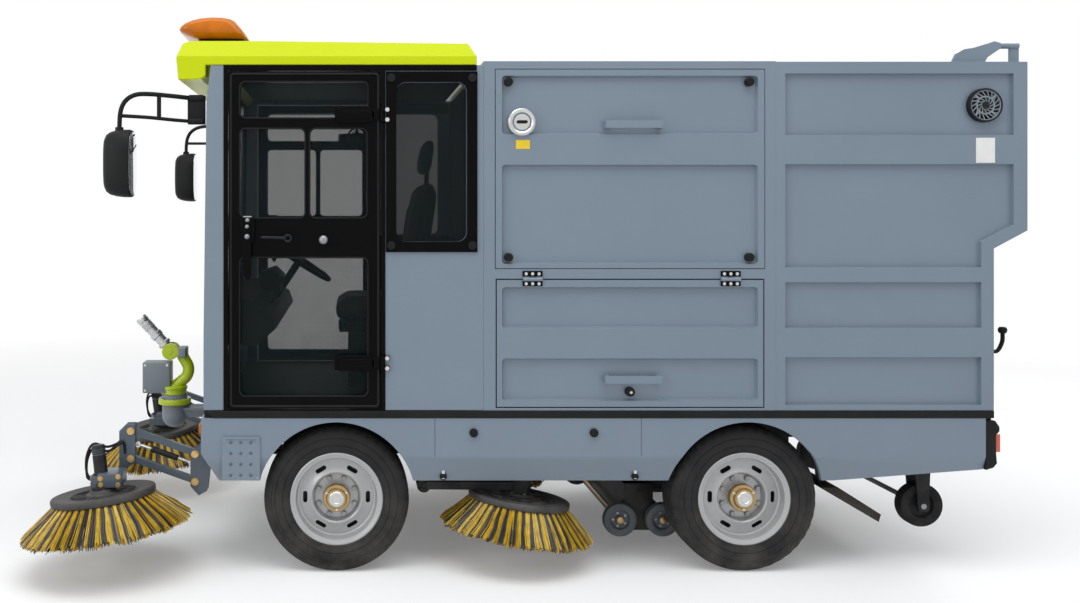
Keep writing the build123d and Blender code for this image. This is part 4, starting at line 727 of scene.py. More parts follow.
def setInputs(modifier, tree, **values):
    for item in tree.interface.items_tree:
        if item.in_out == "INPUT" and item.name in values:
            modifier[item.identifier] = values[item.name]


nutTree = makeNutTree()


def setNuts(name, body, spots, material, radius=0.008, height=0.006, washer=0.011, corners=6):
    # spots: list of (point, outward direction); a tiny triangle carries each nut's normal
    def build(work):
        for point, way in spots:
            way = Vector(way).normalized()
            side = way.orthogonal().normalized() * 0.00001
            up = way.cross(side)
            verts = [work.verts.new(Vector(point) + shift) for shift in (side, up, -side - up)]
            face = work.faces.new(verts)
            face.normal_update()
            if face.normal.dot(way) < 0:
                face.normal_flip()
    work = bmesh.new()
    build(work)
    mesh = bpy.data.meshes.new(name)
    work.to_mesh(mesh)
    work.free()
    piece = newPiece(name, mesh)
    ring = piece.modifiers.new("nuts", "NODES")
    ring.node_group = nutTree
    setInputs(ring, nutTree, **{"Nut Radius": radius, "Nut Height": height, "Washer Radius": washer,
                                "Corners": corners, "Material": finish[material]})
    bakeModifiers(piece)
    return finishPiece(piece, body, None, smooth=25)


for tag, wheelX, side in wheels:
    spots = []
    for index in range(rim["nuts"]):
        angle = 2 * math.pi * (index + 0.5) / rim["nuts"]
        spots.append(((wheelX + rim["nutCircle"] * math.cos(angle), side * (wheelY + 0.0185),
                       axleZ + rim["nutCircle"] * math.sin(angle)), (0, side, 0)))
    setNuts("wheelNuts_" + tag, "wheel_" + tag, spots, "dullSteel", radius=0.0105, height=0.013,
            washer=0.0135)

# Brushes: dished disc, hub and spokes over tufts of yellow and dark bristles
brush = {"discRadius": 0.2205, "discInner": 0.137, "hubRadius": 0.074, "drop": 0.138, "rootRadius": 0.21,
         "tufts": 44, "yellow": 2500, "dark": 1500, "thick": 0.0017, "wave": 0.01, "spokes": 5}
brushSet = {"front_brush": ((1.76096, 0.68, 0.188), (0.12849, -0.06918, 0.98931), 0.357),
            "mid_brush": ((0.008, 0.54, 0.134), (-0.12849, -0.06918, 0.98931), 0.33)}


def makeBristleTree():
    tree, given, result = nodeTree("bristleSkirt", [
        ("Geometry", "NodeSocketGeometry", None), ("Count", "NodeSocketInt", 2500),
        ("Tufts", "NodeSocketInt", 44),
        ("Phase", "NodeSocketFloat", 0.0), ("Spread", "NodeSocketFloat", 0.6),
        ("Root Radius", "NodeSocketFloat", 0.21),
        ("Root Depth", "NodeSocketFloat", 0.034), ("Root Drop", "NodeSocketFloat", 0.012),
        ("Flare", "NodeSocketFloat", 0.87),
        ("Length", "NodeSocketFloat", 0.19), ("Thickness", "NodeSocketFloat", 0.0017),
        ("Wave", "NodeSocketFloat", 0.01),
        ("Seed", "NodeSocketInt", 3), ("Material", "NodeSocketMaterial", None)])
    value = given.outputs
    index = addNode(tree, "GeometryNodeInputIndex").outputs[0]
    label = calc(tree, "MULTIPLY_ADD", value["Seed"], 20011.0, index)

    def chance(seed):
        node = addNode(tree, "FunctionNodeRandomValue", data_type="FLOAT")
        node.inputs["Seed"].default_value = seed
        tree.links.new(label, node.inputs["ID"])
        return node.outputs[1]

    tuft = calc(tree, "FLOOR", calc(tree, "MULTIPLY", chance(1), value["Tufts"]))
    shifted = calc(tree, "ADD", tuft, value["Phase"])
    scatter = calc(tree, "MULTIPLY", calc(tree, "SUBTRACT", calc(tree, "ADD", chance(2), chance(3)), 1.0),
                   value["Spread"])
    angle = calc(tree, "MULTIPLY", calc(tree, "DIVIDE", calc(tree, "ADD", shifted, scatter), value["Tufts"]),
                 2 * math.pi)
    root = calc(tree, "SUBTRACT", value["Root Radius"], calc(tree, "MULTIPLY", chance(4),
                                                             value["Root Depth"]))
    spot = addNode(tree, "ShaderNodeCombineXYZ")
    join(tree, (calc(tree, "MULTIPLY", root, calc(tree, "COSINE", angle)), spot.inputs[0]),
         (calc(tree, "MULTIPLY", root, calc(tree, "SINE", angle)), spot.inputs[1]),
         (calc(tree, "MULTIPLY", value["Root Drop"], -1.0), spot.inputs[2]))
    lean = calc(tree, "ADD", angle, calc(tree, "MULTIPLY", calc(tree, "SUBTRACT", chance(5), 0.5), 0.1))
    flare = calc(tree, "ADD", value["Flare"], calc(tree, "MULTIPLY", calc(tree, "SUBTRACT", chance(6), 0.62),
                                                   0.16))
    out = calc(tree, "SINE", flare)
    way = addNode(tree, "ShaderNodeCombineXYZ")
    join(tree, (calc(tree, "MULTIPLY", out, calc(tree, "COSINE", lean)), way.inputs[0]),
         (calc(tree, "MULTIPLY", out, calc(tree, "SINE", lean)), way.inputs[1]),
         (calc(tree, "MULTIPLY", calc(tree, "COSINE", flare), -1.0), way.inputs[2]))
    points = addNode(tree, "GeometryNodePoints")
    bristle = addNode(tree, "GeometryNodeMeshCylinder", fill_type="NONE")
    bristle.inputs["Vertices"].default_value = 3
    bristle.inputs["Side Segments"].default_value = 3
    lower = addNode(tree, "ShaderNodeCombineXYZ")
    moved = addNode(tree, "GeometryNodeTransform")
    turn = addNode(tree, "FunctionNodeAlignRotationToVector")
    turn.axis = "Z"
    stretch = addNode(tree, "ShaderNodeCombineXYZ")
    stretch.inputs[0].default_value = 1.0
    stretch.inputs[1].default_value = 1.0
    spots = addNode(tree, "GeometryNodeInstanceOnPoints")
    real = addNode(tree, "GeometryNodeRealizeInstances")
    join(tree, (value["Count"], points.inputs["Count"]), (spot.outputs[0], points.inputs["Position"]),
         (value["Thickness"], bristle.inputs["Radius"]), (value["Length"], bristle.inputs["Depth"]),
         (calc(tree, "MULTIPLY", value["Length"], 0.5), lower.inputs[2]),
         (bristle.outputs["Mesh"], moved.inputs["Geometry"]), (lower.outputs[0], moved.inputs["Translation"]),
         (way.outputs[0], turn.inputs["Vector"]), (calc(tree, "SUBTRACT", 1.0,
                                                        calc(tree, "MULTIPLY", chance(7), 0.08)),
                                                   stretch.inputs[2]), (points.outputs[0],
                                                                        spots.inputs["Points"]),
         (moved.outputs[0], spots.inputs["Instance"]), (turn.outputs[0], spots.inputs["Rotation"]),
         (stretch.outputs[0], spots.inputs["Scale"]), (spots.outputs[0], real.inputs[0]))
    place = addNode(tree, "GeometryNodeInputPosition")
    split = addNode(tree, "ShaderNodeSeparateXYZ")
    noise = addNode(tree, "ShaderNodeTexNoise", Scale=13.0, Detail=1.0)
    centred = addNode(tree, "ShaderNodeVectorMath", operation="SUBTRACT")
    centred.inputs[1].default_value = (0.5, 0.5, 0.5)
    shift = addNode(tree, "ShaderNodeVectorMath", operation="SCALE")
    bend = addNode(tree, "GeometryNodeSetPosition")
    paint = addNode(tree, "GeometryNodeSetMaterial")
    join(tree, (place.outputs[0], split.inputs[0]), (place.outputs[0], noise.inputs["Vector"]),
         (noise.outputs["Color"], centred.inputs[0]), (centred.outputs[0], shift.inputs[0]))
    below = calc(tree, "DIVIDE", calc(tree, "MULTIPLY", split.outputs[2], -1.0), value["Length"])
    join(tree, (calc(tree, "MULTIPLY", calc(tree, "MULTIPLY", below, value["Wave"]), 4.0),
                shift.inputs["Scale"]), (real.outputs[0], bend.inputs["Geometry"]),
         (shift.outputs[0], bend.inputs["Offset"]), (bend.outputs[0], paint.inputs["Geometry"]),
         (value["Material"], paint.inputs["Material"]), (paint.outputs[0], result.inputs["Geometry"]))
    return tree


bristleTree = makeBristleTree()


def seatOn(mesh, origin, axis):
    # From the brush's own axes into the machine's
    up = Vector(axis).normalized()
    forward = Vector((up.z, 0, -up.x)).normalized()
    across = up.cross(forward)
    place = Matrix((forward, across, up)).transposed().to_4x4()
    place.translation = Vector(origin)
    mesh.transform(place)


def addBristles(name, body, origin, axis, tipRadius, material, count, phase, spread, seed):
    fall = brush["drop"] - 0.012
    out = tipRadius - brush["rootRadius"]
    piece = newPiece(name, bpy.data.meshes.new(name))
    skirt = piece.modifiers.new("skirt", "NODES")
    skirt.node_group = bristleTree
    setInputs(skirt, bristleTree, **{
        "Count": count, "Tufts": brush["tufts"], "Phase": phase, "Spread": spread,
        "Root Radius": brush["rootRadius"],
        "Flare": math.atan2(out, fall), "Length": math.hypot(out, fall) + 0.003, "Thickness": brush["thick"],
        "Wave": brush["wave"], "Seed": seed, "Material": finish[material]})
    bakeModifiers(piece)
    seatOn(piece.data, origin, axis)
    return finishPiece(piece, body, None, smooth=0)


def buildDisc(work):
    ring = [(brush["discInner"], -0.014), (0.206, -0.0175), (0.2185, -0.012), (brush["discRadius"], -0.004),
            (brush["discRadius"], 0.007), (0.217, 0.0135), (0.209, 0.015), (0.196, 0.0135), (0.16, 0.008),
            (0.146, 0.0065), (0.141, 0.01), (brush["discInner"], 0.009)]
    addTurned(work, ring + [ring[0]], (0, 0, 0), (0, 0, 1), 72)
    addTurned(work, [(0, -0.014), (brush["hubRadius"], -0.014), (brush["hubRadius"], 0.008), (0.07, 0.012),
                     (0.058, 0.013), (0.055, 0.025), (0.03, 0.027), (0, 0.027)], (0, 0, 0), (0, 0, 1), 48)
    for index in range(brush["spokes"]):
        turn = Matrix.Rotation(2 * math.pi * index / brush["spokes"], 4, "Z")
        before = set(work.verts)
        addBox(work, (0.062, -0.019, -0.011), (0.142, 0.019, 0.006))
        addBox(work, (0.066, -0.005, 0.006), (0.141, 0.005, 0.0095))
        bmesh.ops.transform(work, matrix=turn, verts=[vert for vert in work.verts if vert not in before])
    bmesh.ops.remove_doubles(work, verts=work.verts, dist=0.00001)


for label, (tip, axis, tipRadius) in brushSet.items():
    for side in sides:
        body = label + "_" + tags[side]
        spin = Vector((axis[0], side * axis[1], axis[2]))
        origin = Vector((tip[0], side * tip[1], tip[2])) + spin * brush["drop"]
        disc = newPiece("brushDisc_" + body, meshFrom("discMesh_" + body, buildDisc))
        seatOn(disc.data, origin, spin)
        bevelPiece(disc, 0.0015, 2)
        finishPiece(disc, body, "discPlastic", smooth=35)
        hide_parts(body)
        seed = 11 + 7 * len(body) + (3 if side > 0 else 0)
        addBristles("yellowBristles_" + body, body, origin, spin, tipRadius, "bristleYellow", brush["yellow"],
                    0.0, 0.36, seed)
        addBristles("darkBristles_" + body, body, origin, spin, tipRadius, "bristleDark", brush["dark"], 0.5,
                    0.34, seed + 1)
        bolts = []
        for index in range(brush["spokes"]):
            angle = 2 * math.pi * (index + 0.5) / brush["spokes"]
            flat = Vector((0.044 * math.cos(angle), 0.044 * math.sin(angle), 0.0255))
            up = spin.normalized()
            forward = Vector((up.z, 0, -up.x)).normalized()
            bolts.append((origin + forward * flat.x + up.cross(forward) * flat.y + up * flat.z, up))
        setNuts("discBolts_" + body, body, bolts, "dullSteel", radius=0.006, height=0.004,
                washer=0.008)
print("brushes done")

# Front linkage: brass pins, lift cylinder, brush motor and its feed pipe
linkage = {"innerX": 1.409, "lowZ": 0.346, "highZ": 0.467, "runX": 0.28151, "rise": 0.10079, "y": 0.52,
           "outside": 0.0305, "motorRadius": 0.0285, "ramFoot": (1.428, 0.4235), "ramHead": (1.662, 0.5045)}
discTop = {side: Vector((1.78216, side * 0.66859, 0.35124)) for side in sides}
for side in sides:
    tag = tags[side]
    pinY = side * (linkage["y"] + linkage["outside"] - 0.004)
    inner = side * (linkage["y"] - linkage["outside"] + 0.004)
    for body, x, lift in (("chassis", linkage["innerX"], 0.0),
                          ("carrier_" + tag, linkage["innerX"] + linkage["runX"], linkage["rise"])):
        spots = [((x, y, z + lift), (0, way, 0)) for z in (linkage["lowZ"], linkage["highZ"])
                 for y, way in ((pinY, side), (inner, -side))]
        setNuts("linkPins_" + body + "_" + tag, body, spots, "brassBolt", radius=0.0125,
                height=0.009, washer=0.0165)

    # Ram slung below the upper link: barrel with its gland, then rod and eyes
    foot, head = (Vector((x, side * linkage["y"], z)) for x, z in (linkage["ramFoot"], linkage["ramHead"]))
    way = (head - foot).normalized()

    def buildCylinder(work):
        addTurned(work, [(0, 0.062), (0.0125, 0.062), (0.0135, 0.066), (0.0135, 0.172), (0.0155, 0.174),
                         (0.0155, 0.186), (0.0105, 0.188), (0, 0.188)], foot, way, 24)
    makePiece("liftBarrel_" + tag, buildCylinder, "upper_link_" + tag, "motorPaint", smooth=35)

    def buildRod(work):
        span = (head - foot).length
        addTurned(work, [(0, 0.18), (0.0068, 0.18), (0.0068, span - 0.012), (0.0085, span - 0.01),
                         (0.0085, span), (0, span)], foot, way, 20)
        addTurned(work, [(0, -0.004), (0.0068, -0.004), (0.0068, 0.066), (0, 0.066)], foot, way, 20)
        for eye in (foot, head):
            addTurned(work, [(0.0052, -0.008), (0.012, -0.008), (0.012, 0.008), (0.0052, 0.008),
                             (0.0052, -0.008)], eye, (0, 1, 0), 24)
        bmesh.ops.remove_doubles(work, verts=work.verts, dist=0.00001)
    makePiece("liftRod_" + tag, buildRod, "upper_link_" + tag, "brightSteel", smooth=35)

    spin = Vector((0.12849, side * -0.06918, 0.98931))
    base = discTop[side]

    def buildMotor(work):
        size = linkage["motorRadius"]
        profile = [(0, 0.055), (size + 0.006, 0.055), (size + 0.006, 0.066), (size, 0.07), (size, 0.14)]
        for rib in range(4):
            z = 0.144 + rib * 0.007
            profile += [(size - 0.0025, z), (size - 0.0025, z + 0.003), (size + 0.001, z + 0.0035),
                        (size + 0.001, z + 0.0065)]
        profile += [(size, 0.176), (size - 0.002, 0.1825), (size - 0.008, 0.185), (0, 0.185)]
        addTurned(work, profile, base, spin, 40)
        addTurned(work, [(0, -0.001), (0.0495, -0.001), (0.0495, 0.03), (0.046, 0.036), (0.046, 0.058),
                         (0.04, 0.062), (0, 0.062)], base, spin, 48)
    makePiece("brushMotor_" + tag, buildMotor, "carrier_" + tag, "motorPaint", smooth=32)

    def buildBracket(work):
        y = sorted((side * 0.6, side * 0.716))
        addBox(work, (1.694, y[0], 0.3665), (1.795, y[1], 0.4235))
    makePiece("motorBracket_" + tag, buildBracket, "carrier_" + tag, "linkPaint", smooth=35,
              bevel=(0.005, 3))
    spots = [((x, side * 0.716, z), (0, side, 0)) for x, z in ((1.782, 0.404), (1.78, 0.378), (1.707, 0.378),
                                                               (1.707, 0.412))]
    setNuts("bracketBolts_" + tag, "carrier_" + tag, spots, "brassBolt", radius=0.008,
            height=0.006, washer=0.011)

    def buildPipes(work):
        for shift in (0.0, 0.018):
            route = [base + spin * 0.035 + Vector((0.046, 0.0, 0)),
                     base + spin * (0.045 + shift) + Vector((0.062, 0, 0.006)),
                     base + spin * (0.105 + shift) + Vector((0.058, side * -0.012, 0.01)),
                     base + spin * (0.15 + shift) + Vector((0.03, side * -0.034, 0.012)),
                     base + spin * (0.14 + shift) + Vector((-0.03, side * -0.042, 0.008)),
                     Vector((1.722, side * (0.56 - shift), 0.52)),
                     Vector((1.715, side * (0.545 - shift * 0.5), 0.47))]
            addPipe(work, smoothPath(route, 8), 0.0055, 12)
    makePiece("motorPipes_" + tag, buildPipes, "carrier_" + tag, "blackRubber", smooth=60)
print("linkage done")


# Closed sections lofted along a line, for mirror heads and lenses
def superRing(work, centre, half, power=3.0, steps=40):
    # Squared-off oval that faces along X
    ring = []
    for step in range(steps):
        angle = 2 * math.pi * step / steps
        c, s = math.cos(angle), math.sin(angle)
        a = math.copysign(abs(c) ** (2 / power), c) * half[0]
        b = math.copysign(abs(s) ** (2 / power), s) * half[1]
        ring.append(work.verts.new(Vector(centre) + Vector((0, a, b))))
    return ring


def closeRings(work, rings):
    for ringA, ringB in zip(rings, rings[1:]):
        for step in range(len(ringA)):
            after = (step + 1) % len(ringA)
            work.faces.new((ringA[step], ringA[after], ringB[after], ringB[step]))
    work.faces.new(list(reversed(rings[0])))
    work.faces.new(rings[-1])


def stadium(x0, x1, z, half, steps=10):
    # Outline in X and Z with round ends
    points = []
    for centre, start in ((x1 - half, -90), (x0 + half, 90)):
        for step in range(steps + 1):
            angle = math.radians(start + 180 * step / steps)
            points.append((centre + half * math.cos(angle), z + half * math.sin(angle)))
    return points


def roundedLoop(x0, x1, z0, z1, radius, y, steps=6):
    loop = []
    for cx, cz, start in ((x1 - radius, z1 - radius, 0), (x0 + radius, z1 - radius, 90),
                          (x0 + radius, z0 + radius, 180), (x1 - radius, z0 + radius, 270)):
        for step in range(steps + 1):
            angle = math.radians(start + 90 * step / steps)
            loop.append(Vector((cx + radius * math.cos(angle), y, cz + radius * math.sin(angle))))
    return loop


# Mirrors on bent tube arms
mirror = {"y": 0.85, "z": 1.724, "halfWide": 0.084, "halfTall": 0.138, "armRadius": 0.0095}
for side in sides:
    tag = tags[side]

    def buildHead(work):
        rings = []
        for x, scale, tall in ((1.617, 0.93, 0.955), (1.6185, 0.975, 0.98), (1.626, 1.0, 1.0),
                               (1.655, 0.985, 0.995), (1.682, 0.93, 0.97), (1.704, 0.83, 0.925),
                               (1.719, 0.69, 0.85), (1.728, 0.5, 0.73), (1.7315, 0.28, 0.52)):
            rings.append(superRing(work, (x, side * mirror["y"], mirror["z"]),
                                   (mirror["halfWide"] * scale, mirror["halfTall"] * tall), 3.0))
        closeRings(work, rings)
    head = makePiece("mirrorHead_" + tag, buildHead, "chassis", "trimPlastic", smooth=50)
    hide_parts("mirrors")

    def buildMirrorGlass(work):
        rings = [superRing(work, (x, side * mirror["y"], mirror["z"]),
                           (mirror["halfWide"] * scale, mirror["halfTall"] * tall), 3.0)
                 for x, scale, tall in ((1.6185, 0.9, 0.94), (1.6162, 0.9, 0.94), (1.6158, 0.88, 0.93))]
        closeRings(work, rings)
    makePiece("mirrorGlass_" + tag, buildMirrorGlass, "chassis", "mirrorGlass", smooth=30)

    def buildArms(work):
        top = [(1.4, side * 0.676, 2.009), (1.47, side * 0.735, 2.0115), (1.56, side * 0.805, 2.0125),
               (1.612, side * 0.84, 2.004), (1.65, side * 0.8495, 1.975), (1.668, side * 0.85, 1.925),
               (1.671, side * 0.85, 1.835)]
        addPipe(work, smoothPath(top, 8), mirror["armRadius"], 16)
        low = [(1.4, side * 0.676, 1.911), (1.47, side * 0.735, 1.912), (1.56, side * 0.805, 1.916),
               (1.664, side * 0.848, 1.919)]
        addPipe(work, smoothPath(low, 8), mirror["armRadius"] * 0.8, 16)
        addPipe(work, [(1.523, side * 0.777, 1.913), (1.523, side * 0.777, 2.012)], 0.009, 14)
        addTurned(work, [(0, -0.012), (0.016, -0.012), (0.018, 0.0), (0.016, 0.016), (0, 0.016)],
                  (1.671, side * 0.85, 1.856), (0, 0, 1), 20)
    makePiece("mirrorArms_" + tag, buildArms, "chassis", "trimPlastic", smooth=50)

    def buildClamp(work):
        y = sorted((side * 0.664, side * 0.688))
        addBox(work, (1.345, y[0], 1.898), (1.419, y[1], 2.02))
        for z in (1.911, 2.009):
            addTurned(work, [(0, 0), (0.014, 0), (0.014, 0.06), (0.011, 0.064), (0, 0.064)],
                      (1.352, side * 0.684, z), (1, 0, 0), 18)
    makePiece("mirrorClamp_" + tag, buildClamp, "chassis", "trimPlastic", smooth=40,
              bevel=(0.003, 2))
print("mirrors done")

# Amber light bar over dark feet, and the lamps of the visor
bar = {"half": 0.55, "ends": ((0.0, 1.0), (0.86, 1.0), (0.93, 0.97), (0.97, 0.88), (0.99, 0.72), (1.0, 0.5)),
       "section": [(1.4855, 2.33), (1.479, 2.343), (1.462, 2.357), (1.43, 2.371), (1.39, 2.381),
                   (1.34, 2.3855), (1.29, 2.384), (1.255, 2.377), (1.236, 2.366), (1.212, 2.338),
                   (1.184, 2.3), (1.183, 2.292), (1.195, 2.289), (1.3, 2.29), (1.395, 2.29), (1.418, 2.293),
                   (1.445, 2.303), (1.468, 2.313), (1.481, 2.321)]}


def loftBar(work):
    centre = Vector((1.33, 0, 2.337))
    rings = []
    stops = [(-share, scale) for share, scale in reversed(bar["ends"][1:])] + list(bar["ends"][1:])
    for share, scale in stops:
        ring = []
        for x, z in bar["section"]:
            ring.append(work.verts.new((centre.x + (x - centre.x) * (0.35 + 0.65 * scale),
                                        share * bar["half"], centre.z + (z - centre.z) * scale)))
        rings.append(ring)
    closeRings(work, rings)


lens = makePiece("lightBarLens", loftBar, "chassis", "amberLens", smooth=45)
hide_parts("light_bar")


def buildReflectors(work):
    for y in (-0.46, -0.23, 0.0, 0.23, 0.46):
        addTurned(work, [(0, -0.026), (0.034, -0.026), (0.04, -0.004), (0.042, 0.02), (0.036, 0.02),
                         (0.03, -0.002), (0.012, -0.014), (0.01, 0.014), (0, 0.016)], (1.345, y, 2.334),
                  (0.25, 0.1 if y > 0.3 else 0.0, 0.95), 28)
    addBox(work, (1.205, -0.5, 2.294), (1.415, 0.5, 2.3))


makePiece("lightBarReflectors", buildReflectors, "chassis", "clearLens", smooth=35)


def buildBarFeet(work):
    for y in (-0.35, 0.35):
        addBox(work, (1.215, y - 0.042, 2.2575), (1.345, y + 0.042, 2.2885))
    addBox(work, (1.2, -0.505, 2.2835), (1.4, 0.505, 2.2895))


makePiece("lightBarFeet", buildBarFeet, "chassis", "trimPlastic", smooth=40, bevel=(0.003, 2))

for side in sides:
    tag = tags[side]

    def buildVisorLamp(work):
        rings = [superRing(work, (x, side * 0.5, z), (0.12 * scale, 0.055 * scale), 2.6)
                 for x, z, scale in ((1.44, 2.15, 1.0), (1.463, 2.15, 1.0), (1.47, 2.15, 0.97),
                                     (1.4755, 2.15, 0.86), (1.478, 2.15, 0.6))]
        closeRings(work, rings)
    makePiece("visorLamp_" + tag, buildVisorLamp, "chassis", "darkLens", smooth=45)
    y0, y1 = sorted((side * 0.597, side * 0.703))

    def buildTailLamp(work):
        addBox(work, (-2.0145, y0, 0.513), (-1.984, y1, 0.5885))
        for z in (0.5325, 0.5515, 0.5705):
            addBox(work, (-2.0155, y0 + 0.006, z - 0.001), (-2.0135, y1 - 0.006, z + 0.001))
    tail = makePiece("tailLamp_" + tag, buildTailLamp, "chassis", "redLens", smooth=40,
                     bevel=(0.0009, 2))
    if side > 0:
        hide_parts("lamps")
    w0, w1 = sorted((side * 0.635, side * 0.705))

    def buildIndicator(work):
        addBox(work, (1.3565, w0, 0.589), (1.3695, w1, 0.632))
    makePiece("frontIndicator_" + tag, buildIndicator, "chassis", "amberLens", smooth=40,
              bevel=(0.004, 3))

    lampCentre = (1.3565, side * 0.52, 0.58)

    def buildHeadlampRing(work):
        addTurned(work, [(0.043, 0.0), (0.054, 0.0), (0.056, 0.004), (0.056, 0.016), (0.052, 0.021),
                         (0.046, 0.0215), (0.043, 0.017), (0.043, 0.0)], lampCentre, (1, 0, 0), 48)
        bmesh.ops.remove_doubles(work, verts=work.verts, dist=0.00001)
    makePiece("headlampRing_" + tag, buildHeadlampRing, "chassis", "trimPlastic", smooth=35)

    def buildHeadlamp(work):
        addTurned(work, [(0, 0.002), (0.043, 0.002), (0.043, 0.013), (0.034, 0.017), (0.02, 0.0195),
                         (0, 0.0205)], lampCentre, (1, 0, 0), 40)
    makePiece("headlamp_" + tag, buildHeadlamp, "chassis", "clearLens", smooth=50)
print("lamps done")

# Doors: black surround, rounded rim, strap hinges, latch, pull and knob
door = {"hinges": (0.893, 1.934)}
for side in sides:
    tag = tags[side]
    body = "door_" + tag

    def across(low, high):
        return sorted((side * low, side * high))

    def buildSurround(work):
        low, high = across(0.7245, 0.729)
        for x0, x1, z0, z1 in ((1.2425, 1.262, 0.6935, 2.1435), (0.1985, 1.2425, 2.1195, 2.1435),
                               (0.582, 0.5995, 0.6935, 2.1195), (0.5995, 1.2425, 0.6935, 0.6985)):
            addBox(work, (x0, low, z0), (x1, high, z1))
    makePiece("doorSurround_" + tag, buildSurround, "chassis", "doorPaint", smooth=40,
              bevel=(0.0012, 2))

    def buildRim(work):
        addPipe(work, roundedLoop(0.612, 1.23, 0.711, 2.106, 0.012, side * 0.7262), 0.0055, 10, closed=True)
        for x0, x1, z0, z1 in ((0.656, 1.193, 1.922, 2.073), (0.92, 1.193, 1.502, 1.876),
                               (0.66, 0.899, 1.502, 1.876), (0.656, 1.193, 0.754, 1.334)):
            addPipe(work, roundedLoop(x0 - 0.001, x1 + 0.001, z0 - 0.001, z1 + 0.001, 0.025, side * 0.7245),
                    0.0035, 8, closed=True)
    makePiece("doorRim_" + tag, buildRim, body, "trimPlastic", smooth=60)

    def buildStraps(work):
        for z in door["hinges"]:
            low, high = across(0.7305, 0.7385)
            addOutline(work, stadium(0.6275, 0.796, z, 0.0345), low, high)
            low, high = across(0.738, 0.744)
            addOutline(work, stadium(0.64, 0.784, z, 0.0175), low, high)
            low, high = across(0.7305, 0.7385)
            addBox(work, (0.606, low, z - 0.021), (0.64, high, z + 0.021))
    makePiece("strapHinges_" + tag, buildStraps, body, "doorPaint", smooth=40,
              bevel=(0.0028, 3))
    spots = [((0.5745, side * 0.741, z + dz), (0, side, 0)) for z in door["hinges"] for dz in (-0.021, 0.021)]
    setNuts("hingeBolts_" + tag, "chassis", spots, "brightSteel", radius=0.0065, height=0.005,
            washer=0.009)

    def buildLatch(work):
        low, high = across(0.7385, 0.745)
        addOutline(work, [(x + 1.159, z + 1.449) for x, z in ((-0.028, -0.05), (0.028, -0.05), (0.031, 0.0),
                                                              (0.028, 0.05), (-0.028, 0.05), (-0.031, 0.0))],
                   low, high)
        low, high = across(0.7505, 0.764)
        addOutline(work, [(1.1455, 1.468), (1.1725, 1.468), (1.1765, 1.4), (1.1775, 1.3), (1.174, 1.262),
                          (1.164, 1.245), (1.153, 1.245), (1.144, 1.262), (1.1415, 1.3), (1.142, 1.4)], low,
                   high)
    makePiece("doorLatch_" + tag, buildLatch, body, "doorPaint", smooth=45, bevel=(0.0045, 3))

    def buildLatchKeys(work):
        for z, size in ((1.492, 0.0095), (1.4655, 0.0085), (1.424, 0.011)):
            addTurned(work, [(0, -0.004), (size, -0.004), (size, 0.006), (size * 0.8, 0.0095),
                             (size * 0.4, 0.0115), (0, 0.012)], (1.159, side * (0.764 if z < 1.47 else 0.745),
                                                                 z), (0, side, 0), 24)
        addPipe(work, [(1.176, side * 0.746, 1.5065), (1.142, side * 0.746, 1.5065)], 0.0035, 10)
        addTurned(work, [(0, -0.002), (0.0185, -0.002), (0.0195, 0.006), (0.015, 0.013), (0.008, 0.016),
                         (0, 0.0165)], (0.842, side * 0.743, 1.41), (0, side, 0), 32)
    makePiece("latchKeys_" + tag, buildLatchKeys, body, "dullSteel", smooth=40)

    def buildPull(work):
        route = [(1.103, side * 0.7255, 1.419), (1.101, side * 0.748, 1.42), (1.088, side * 0.757, 1.4205),
                 (1.03, side * 0.757, 1.419), (1.004, side * 0.755, 1.4175)]
        addPipe(work, smoothPath(route, 8), 0.0065, 14)
        circle = [Vector((0.99 + 0.0135 * math.cos(a), side * 0.754, 1.4165 + 0.0135 * math.sin(a)))
                  for a in [2 * math.pi * step / 20 for step in range(20)]]
        addPipe(work, circle, 0.005, 12, closed=True)
        addPipe(work, [(0.99, side * 0.725, 1.405), (0.99, side * 0.752, 1.405)], 0.005, 12)
    makePiece("doorPull_" + tag, buildPull, body, "motorPaint", smooth=60)
print("doors done")

# Cab inside: dark lining that also serves as painted shade for the dim inside, dash details, fan and the
# padded seat
cab = {"rear": 0.1705, "front": 1.296, "half": 0.668, "floor": 0.6935}


# Near-black lining on the rear wall, floor, roof and sides: a lining, made dark as painted shade so the cab's
# inside reads dim through the glass
def buildShadeLining(work):
    addBox(work, (cab["rear"], -cab["half"], 0.7), (cab["rear"] + 0.005, cab["half"], 2.13))
    addBox(work, (cab["rear"] + 0.006, -cab["half"], cab["floor"]),
           (cab["front"], cab["half"], cab["floor"] + 0.004))
    addBox(work, (0.205, -0.64, 2.1365), (1.245, 0.64, 2.1395))
    for side in sides:
        low, high = sorted((side * 0.6745, side * 0.6785))
        addBox(work, (0.18, low, 0.7), (0.59, high, 1.395))
        addBox(work, (0.18, low, 2.075), (0.59, high, 2.13))


makePiece("cabShadeLining", buildShadeLining, "chassis", "dashPlastic", smooth=30)


def buildDashParts(work):
    # Instrument hood, column shroud and levers
    addOutline(work, [(1.06, 1.15), (1.15, 1.158), (1.165, 1.235), (1.105, 1.255), (1.062, 1.215)], -0.2, 0.2)
    addPipe(work, [(1.03, 0.1, 1.225), (1.0, 0.19, 1.262)], 0.006, 10)
    addPipe(work, [(1.03, -0.1, 1.225), (1.0, -0.19, 1.262)], 0.006, 10)
    for y in (0.27, 0.34, 0.41):
        addPipe(work, [(1.085, y, 1.115), (1.055, y, 1.205)], 0.006, 10)
        addTurned(work, [(0, -0.012), (0.013, -0.01), (0.017, 0.004), (0.012, 0.018), (0, 0.022)],
                  (1.052, y, 1.212), (-0.3, 0, 0.95), 18)


makePiece("dashParts", buildDashParts, "chassis", "dashPlastic", smooth=45,
          bevel=(0.003, 2, 40))


